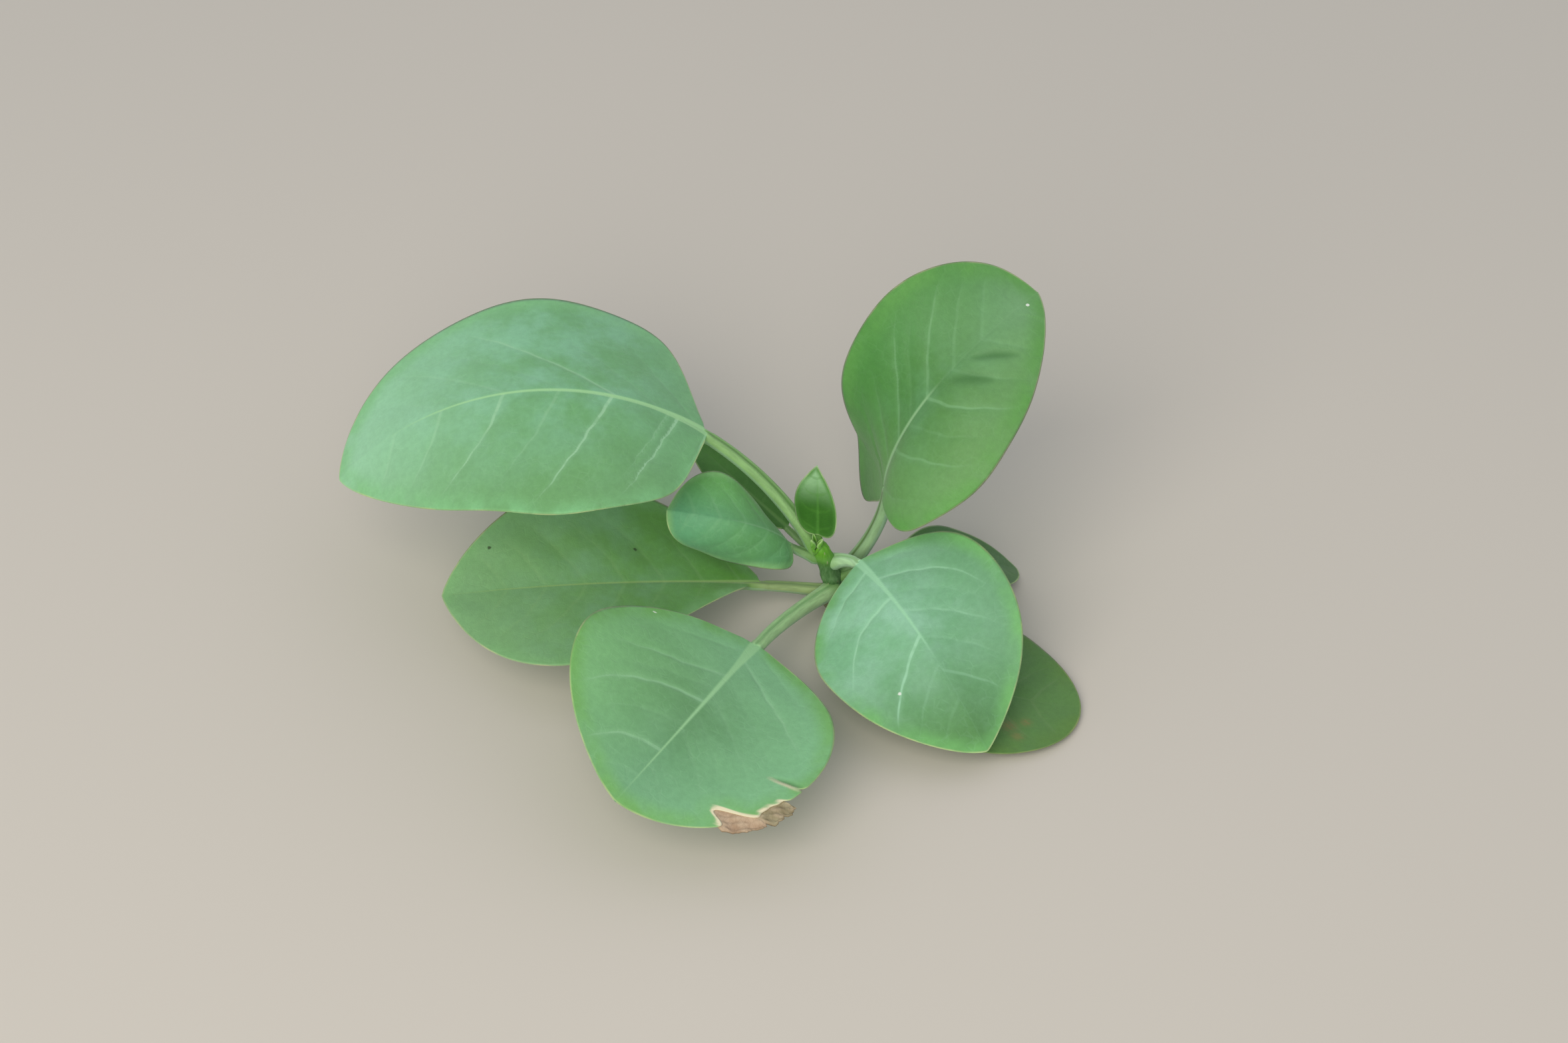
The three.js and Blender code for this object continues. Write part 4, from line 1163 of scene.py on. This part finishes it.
# %% Mark cork and rot
SLIT = (-21.6, 36.2), (-25.1, 36.4), (-28.4, 37.0)  # its cork lip: mm across and along the front leaf
LIP_WIDTH, LIP_SOFT, LIP_SHARE = 0.75, 0.5, 0.8  # mm, mm, and how plainly it shows
SCAR_WIDTH, SCAR_SOFT = 0.65, 0.4  # mm of cork along the eaten margin, and mm over which it ends
SCAR_END = 0.012  # of the blade's length, over which it sets in
SCAR_WAVES = (1.6, 0.35, 0), (3.7, 0.15, 1)  # how its width varies: radians per mm, share and phase
STAINS = (9, 40, 1.6), (11.5, 42, 1.1), (7, 43, 1.0)  # mm across, along and in radius
STAIN_SHARE = 0.7  # how plainly they show


def scarred(numbers):
    """Marks the cork that has healed the eaten margin and the slit next to it."""
    along, across = numbers["along_mm"], numbers["across_mm"]
    s = along / LEAVES["front"]["blade"]["length"]
    healed = (across < 0) * eased((s - TORN[0]) / SCAR_END) * eased((TORN[1] - s) / SCAR_END)
    uneven = 1
    for pace, share, phase in SCAR_WAVES:
        uneven = uneven + share * np.sin(along * pace + phase)
    scar = healed * eased((SCAR_WIDTH * uneven + 0.3 - numbers["rim_mm"]) / SCAR_SOFT)
    off, run = near_line(SLIT, across, along)
    tapered = np.sin(np.pi * np.clip(run, 0.05, 0.95)) ** 0.5
    return np.maximum(scar, LIP_SHARE * eased((LIP_WIDTH - off) / LIP_SOFT) * tapered)


def stained(numbers):
    """Brown stains in the lower right leaf, mottled by its finest veins."""
    stain = np.zeros_like(numbers["blade"])
    across, along = numbers["across_mm"], numbers["along_mm"]
    for x, y, size in STAINS:
        stain = np.maximum(stain, np.exp(-((np.hypot(across - x, along - y) / size) ** 2)))
    return STAIN_SHARE * stain * (0.6 + 0.4 * np.sin(across * 5) * np.sin(along * 4.3))


DAMAGE = {"front": scarred, "lower_right": stained}
print("damaged leaves:", ", ".join(DAMAGE))

# %% [markdown]
# ## All ten leaves
# Each leaf now gets its skin, with the most points on the large leaves and the front one. The
# upper and the lower face share their outermost points, so each ring closes along the margin.
# Two sheets welded along the edge would look the same, but a weld can leave gaps and doubled
# faces.

# %% Grow the leaves
FINE = {
    "upper_left": (56, 0.45), "front": (52, 0.28), "lower_left": (48, 0.5), "upper_right": (50, 0.35),
    "right": (48, 0.4), "lower_right": (40, 0.6), "middle_left": (34, 0.4), "back_right": (30, 0.5),
    "back_left": (20, 0.6), "young": (26, 0.35),
}  # columns on each side of the midrib, and mm between rows


def grow(name, leaf, half_columns, spacing, thick=THICKNESS):
    tops, bottoms, numbers = leaf_rings(leaf, half_columns, spacing, thick)
    numbers["scar"] = DAMAGE[name](numbers) if name in DAMAGE else np.zeros_like(numbers["blade"])
    rings = np.concatenate([tops, bottoms[:, -2:0:-1]], axis=1)
    attributes = {}
    for key, values in numbers.items():
        attributes[key] = np.concatenate([values, values[:, -2:0:-1]], axis=1)
    below = np.ones((len(tops), tops.shape[1] - 2))
    attributes["under"] = np.concatenate([np.zeros(tops.shape[:2]), below], axis=1)
    return skin(name + "_leaf", rings, attributes)


for name, leaf in LEAVES.items():
    mesh = grow(name, leaf, *FINE[name])
    finish = waxy_leaf(name.replace("_", " ") + " leaf, waxy", COMMON | TONES[name], leaf)
    slot = "young_leaf" if name == "young" else "leaf"
    show(name + "_leaf", mesh, finish, slot, name + "_stalk", name + "_blade")

# %% [markdown]
# ## The withered strip
# Below the eaten margin a strip of dead tissue still hangs on: brown, dry and crumpled like thin
# paper. It hangs as two flaps, a pinkish one towards the tip and a greyer one beside it. It
# follows the blade's surface from the healed edge outwards, and crumples in two sizes of
# wrinkles. A cloth simulation could crumple it too, but two sets of waves are enough for a strip
# that is only a centimetre long.

# %% Crumple the strip
STRIP_FROM, STRIP_TO = 0.664, 0.846  # where it starts and ends along the blade
STRIP_REACH = 0.1  # how far it reaches past the whole leaf's outline, over the half-width there
STRIP_DROOP = 1.4  # mm that its outer edge hangs under the blade
STRIP_DEPTH = 0.22  # mm that it lies under the blade's upper face where it hangs on
STRIP_THICKNESS = 0.25  # mm
STRIP_ROWS, STRIP_COLUMNS = 140, 30
OVERLAP = 0.5  # mm that it reaches in under the healed edge
NOTCH_PLACE, NOTCH_DEPTH, NOTCH_WIDTH = 0.5, 0.05, 0.035  # between the flaps: along, into it, along
RAGS = (17, 0.01, 0), (41, 0.008, 1), (97, 0.004, 0)  # its edge's waves: radians, height and phase
CRUMPLE = 0.35  # mm that its folds rise and sink
CURL = 0.4  # mm that its outer edge curls up
CURL_START, CURL_WIDTH = 0.8, 0.2  # where that starts and how far it goes, over the strip's width


def strip_rings(rows, columns):
    leaf = LEAVES["front"]
    u = np.linspace(0, 1, rows)
    s = between((STRIP_FROM, STRIP_TO), u)
    width = margin(leaf, "left", s)[0]
    inner = 1 - bitten(s) - OVERLAP / width
    ragged = sum(height * np.sin(u * pace + phase) for pace, height, phase in RAGS)
    notch = NOTCH_DEPTH * np.exp(-(((u - NOTCH_PLACE) / NOTCH_WIDTH) ** 2))
    outer = 1.01 + STRIP_REACH * np.sin(np.pi * (0.1 + 0.8 * u)) + ragged - notch
    out = np.linspace(1, 0, columns)[None]
    share = inner[:, None] + (outer - inner)[:, None] * out
    across = -share * width[:, None]
    place = np.broadcast_to(s[:, None], across.shape)
    point, normal = blade_surface(leaf, across, place)
    forward = place * leaf["blade"]["length"]
    wide_folds = 0.5 * np.sin(forward * 1.7 + across * 0.8)
    fine_folds = 0.3 * np.sin(forward * 4.1 - across * 2.6 + 2)
    folds = 0.5 + wide_folds + fine_folds
    crumpled = CRUMPLE * (folds - 0.5) * np.minimum(1, 2 * out)
    curled = eased((out - CURL_START) / CURL_WIDTH)
    sunk = STRIP_DEPTH + STRIP_DROOP * out**2 - crumpled - CURL * curled
    upper = point - normal * sunk[..., None]
    lower = upper - normal * STRIP_THICKNESS
    rings = np.concatenate([upper, lower[:, ::-1]], axis=1)
    out = np.broadcast_to(out, across.shape)
    numbers = dict(across_mm=across, along_mm=forward, fold=folds, out=out)
    for key, values in numbers.items():
        numbers[key] = np.concatenate([values, values[:, ::-1]], axis=1)
    return rings, numbers


strip, strip_numbers = strip_rings(STRIP_ROWS, STRIP_COLUMNS)
print("the strip is", round((STRIP_TO - STRIP_FROM) * LEAVES["front"]["blade"]["length"], 1), "mm long")

# %% Dry its surface
FIBRE_MESH, FIBRE_HEIGHT = 0.9, 0.1  # mm, of the dark veins that are left in the dead tissue
BLOTCHES = 0.35  # per mm: it has bleached in blotches of about 3 mm
SEAM = 0.6  # mm on each side of the notch, over which grey turns to pink


def dry_tissue(name):
    """Dead leaf tissue, bleached and dried by the sun: dull, brown, dark along its old veins, with painted
    highlight on the crests of its folds.
    """
    material = bpy.data.materials.new(name)
    material.use_nodes = True
    tree = material.node_tree
    names = ("across_mm", "along_mm", "fold", "out")
    marks = [add(tree, "Attribute", {}, output=2, attribute_name=name) for name in names]
    across, along, fold, out = marks
    place = add(tree, "CombineXYZ", {"X": across, "Y": along})
    blotches = {"Vector": place, "Scale": BLOTCHES, "Detail": 5.0, "Roughness": 0.65}
    blotch = add(tree, "TexNoise", blotches)
    blotch = add(tree, "MapRange", (blotch, 0.35, 0.65, 0, 1), **SMOOTH)
    grey = add(tree, "MixRGB", (blotch, linear("#857a5c"), linear("#a09778")))
    pink = add(tree, "MixRGB", (blotch, linear("#a58c72"), linear("#bba489")))
    middle = between((STRIP_FROM, STRIP_TO), NOTCH_PLACE) * LEAVES["front"]["blade"]["length"]
    tipward = add(tree, "MapRange", (along, middle - SEAM, middle + SEAM, 0, 1), **SMOOTH)
    colour = add(tree, "MixRGB", (tipward, grey, pink))
    # Painted highlight: the crests of the folds are paler.
    raised = add(tree, "MapRange", (fold, 0.2, 1.2, 0, 0.4), **SMOOTH)
    colour = add(tree, "MixRGB", (raised, colour, linear("#cbb79a")))
    frayed = add(tree, "MapRange", (out, 0.9, 1.0, 0, 0.3), **SMOOTH)
    colour = add(tree, "MixRGB", (frayed, colour, linear("#7a6648")))
    cells = {"Vector": place, "Scale": 1 / FIBRE_MESH}
    fibre = add(tree, "TexVoronoi", cells, feature="DISTANCE_TO_EDGE")
    fibre = add(tree, "MapRange", (fibre, 0.0, 0.12, 1, 0), **SMOOTH)
    drawn = add(tree, "Math", (fibre, 0.14), **TIMES)
    colour = add(tree, "MixRGB", (drawn, colour, linear("#6a5238")))
    bump = add(tree, "Bump", {"Height": fibre, "Strength": 0.3, "Distance": FIBRE_HEIGHT * MM})
    shader = tree.nodes["Principled BSDF"]
    shader.inputs["Roughness"].default_value = 0.85
    shader.inputs["Specular IOR Level"].default_value = 0.2
    tree.links.new(colour, shader.inputs["Base Color"])
    tree.links.new(bump, shader.inputs["Normal"])
    return material


strip_mesh = skin("dry_strip", strip, strip_numbers)
show("front_dry_edge_strip", strip_mesh, dry_tissue("dry leaf tissue"), "dry_leaf", "front_dry_edge")

# %% [markdown]
# ## The stem
# The stem is a green, fleshy column, wider at its foot, that leans a little. It has a faint
# swelling at each ring of leaf scars, and shallow ridges run down it. A cylinder could be bent
# and carved into it. It is drawn as level rings instead, so that its foot is a flat cut at ground
# level.

# %% Raise the stem
STEM_TOP = -4.4, 0.3, 17.6  # mm
STEM_LEAN = 1.4  # 1 leans it evenly, more leaves its foot upright
STEM_RADIUS = 2.5, 1.9  # mm, at its foot and its top
FLARE, FLARE_HEIGHT = 0.9, 1.6  # mm more in radius at the ground, and mm over which that is lost
DOME, DOME_FLATNESS = 1.5, 0.85  # mm over which its top closes, and how far it does
LEAF_SCARS = 4.5, 8, 13.5  # mm, how high the rings of leaf scars lie
SCAR_SWELLING, SCAR_HEIGHT = 0.25, 0.9  # mm
RIDGES = (5, 0.07, 0.12), (11, 0.03, -0.3)  # how many, mm high, and how they wind, in radians per mm
STEM_ROWS, STEM_COLUMNS = 110, 72


def stem_rings(rows, around):
    z = STEM_TOP[2] * np.linspace(0, 1, rows)
    share = z / STEM_TOP[2]
    angle = -2 * np.pi * np.arange(around) / around
    radius = between(STEM_RADIUS, share) + FLARE * np.exp(-z / FLARE_HEIGHT)
    for height in LEAF_SCARS:
        radius = radius + SCAR_SWELLING * np.exp(-(((z - height) / SCAR_HEIGHT) ** 2))
    into_dome = np.clip(z - STEM_TOP[2] + DOME, 0, DOME) / DOME
    radius = radius * np.sqrt(1 - DOME_FLATNESS * into_dome**2)
    ridges = 0
    for count, height, winding in RIDGES:
        ridges = ridges + height * np.sin(count * angle[None] + winding * z[:, None])
    full = radius[:, None] + ridges
    centre = np.array(STEM_TOP[:2])[None] * (share**STEM_LEAN)[:, None]
    x = centre[:, :1] + full * np.cos(angle)
    y = centre[:, 1:] + full * np.sin(angle)
    rings = np.stack([x, y, np.broadcast_to(z[:, None], x.shape)], -1)
    return rings, {"height_mm": rings[..., 2]}


stem, stem_numbers = stem_rings(STEM_ROWS, STEM_COLUMNS)
print("the stem is", round(np.ptp(stem[0, :, 0]), 1), "mm across at the ground")

# %% Give it its skin
PORE_SPACING = 1.1  # mm across the stem, between the pale pores in its bark
BARK_GRAIN, BARK_STRETCH = 1.6, 0.35  # per mm: streaks 0.6 mm wide, and nearly three times as long
BARK_RELIEF = 0.15  # mm
LIME_BARK = 11.0, 16.5  # mm up, from where to where the bark turns lime green
DUSTY_BARK = 0.3, 4.5  # mm up, from where to where the dust on it is lost


def green_bark(name):
    """The skin of a green stem, not yet corky: faint streaks along it, pale pores, a dusty foot."""
    material = bpy.data.materials.new(name)
    material.use_nodes = True
    tree = material.node_tree
    height = add(tree, "Attribute", {}, output=2, attribute_name="height_mm")
    place = add(tree, "TexCoord", {}, output="Object")
    place = add(tree, "VectorMath", (place, (1 / MM, 1 / MM, BARK_STRETCH / MM)), **TIMES)
    streak = add(tree, "TexNoise", {"Vector": place, "Scale": BARK_GRAIN, "Detail": 4.0})
    streak = add(tree, "MapRange", (streak, 0.35, 0.65, 0, 1), **SMOOTH)
    colour = add(tree, "MixRGB", (streak, linear("#44703a"), linear("#5a834f")))
    young = add(tree, "MapRange", (height, *LIME_BARK, 0, 1), **SMOOTH)
    colour = add(tree, "MixRGB", (young, colour, linear("#62a526")))
    dusty = add(tree, "MapRange", (height, *DUSTY_BARK, 0.7, 0), **SMOOTH)
    colour = add(tree, "MixRGB", (dusty, colour, linear("#8f8466")))
    pore = add(tree, "TexVoronoi", {"Vector": place, "Scale": 1 / PORE_SPACING})
    pore = add(tree, "MapRange", (pore, 0.08, 0.2, 0.5, 0), **SMOOTH)
    colour = add(tree, "MixRGB", (pore, colour, linear("#b3ae8c")))
    bump = add(tree, "Bump", {"Height": streak, "Strength": 0.4, "Distance": BARK_RELIEF * MM})
    shader = tree.nodes["Principled BSDF"]
    shader.inputs["Roughness"].default_value = 0.55
    tree.links.new(colour, shader.inputs["Base Color"])
    tree.links.new(bump, shader.inputs["Normal"])
    return material


stem_mesh = skin("stem_skin", stem, stem_numbers)
show("stem_skin", stem_mesh, green_bark("green stem bark"), "stem", "stem")

# %% [markdown]
# ## The bud
# At the stem's top the next leaves are still folded round each other. They could be cut from a
# small cone. But each is a leaf like the others, only a few millimetres long and lime green, so
# the same rule grows them.

# %% Grow the bud
BUD_THICKNESS = 0.28  # mm, as a leaf in the bud is thinner
BUD_FINE = 14, 0.15  # columns on each side of the midrib, and mm between rows
LEAFLET_FOLD, LEAFLET_CUP = 48, 20  # degrees
LEAFLET_TURN, LEAFLET_RISE = 8, 18  # degrees that it turns and lifts from foot to tip
LEAFLET_STALK, LEAFLET_GIRTH = 0.5, (0.32, 0.3)  # mm, its length and its radius at both ends
LEAFLETS = [
    (235, 66, 3.7, 2.5, (-5.3, -1.6, 17.1)),
    (355, 62, 2.9, 2.2, (-4.7, -1.5, 17.2)),
    (115, 70, 3.2, 2.2, (-5.1, -1.0, 17.2)),
]  # heading and lift in degrees, length, width and foot in mm
BUD_TONES = dict(
    green="#5fa324", bloom="#72b234", tip="#b4d890", edge="#7cbe3c", edge_mm=0.8, groove="#62a028",
    under="#74b23c", stalk="#62a028", joint="#62a028", margin="#c8e0a4",
)


def leaflet(heading, lift, length, width, foot):
    side = half(LEAFLET_FOLD, LEAFLET_CUP, (0.4, 0.8, 0, 0), faint_veins(3, 0.3), quilt=0.03)
    headings, lifts = (heading, heading + LEAFLET_TURN), (lift, lift + LEAFLET_RISE)
    shape = dict(
        foot=foot,
        stalk=limb(LEAFLET_STALK, (heading, heading), (lift, lift), radius=LEAFLET_GIRTH),
        blade=limb(length, headings, lifts, width=width, roll=(0, 0)),
        right=side,
        left=side,
        wave=(0, 1),
    )
    shape["stalk_line"] = limb_line(np.array(foot, float), shape["stalk"])
    shape["midrib"] = limb_line(shape["stalk_line"][-1], shape["blade"])
    return shape


bud_finish = waxy_leaf("bud leaf, waxy", COMMON | TONES["young"] | BUD_TONES, leaflet(*LEAFLETS[0]))
for number, numbers in enumerate(LEAFLETS, 1):
    mesh = grow(f"bud_{number}", leaflet(*numbers), *BUD_FINE, BUD_THICKNESS)
    show(f"bud_leaflet_{number}", mesh, bud_finish, "young_leaf", "bud")
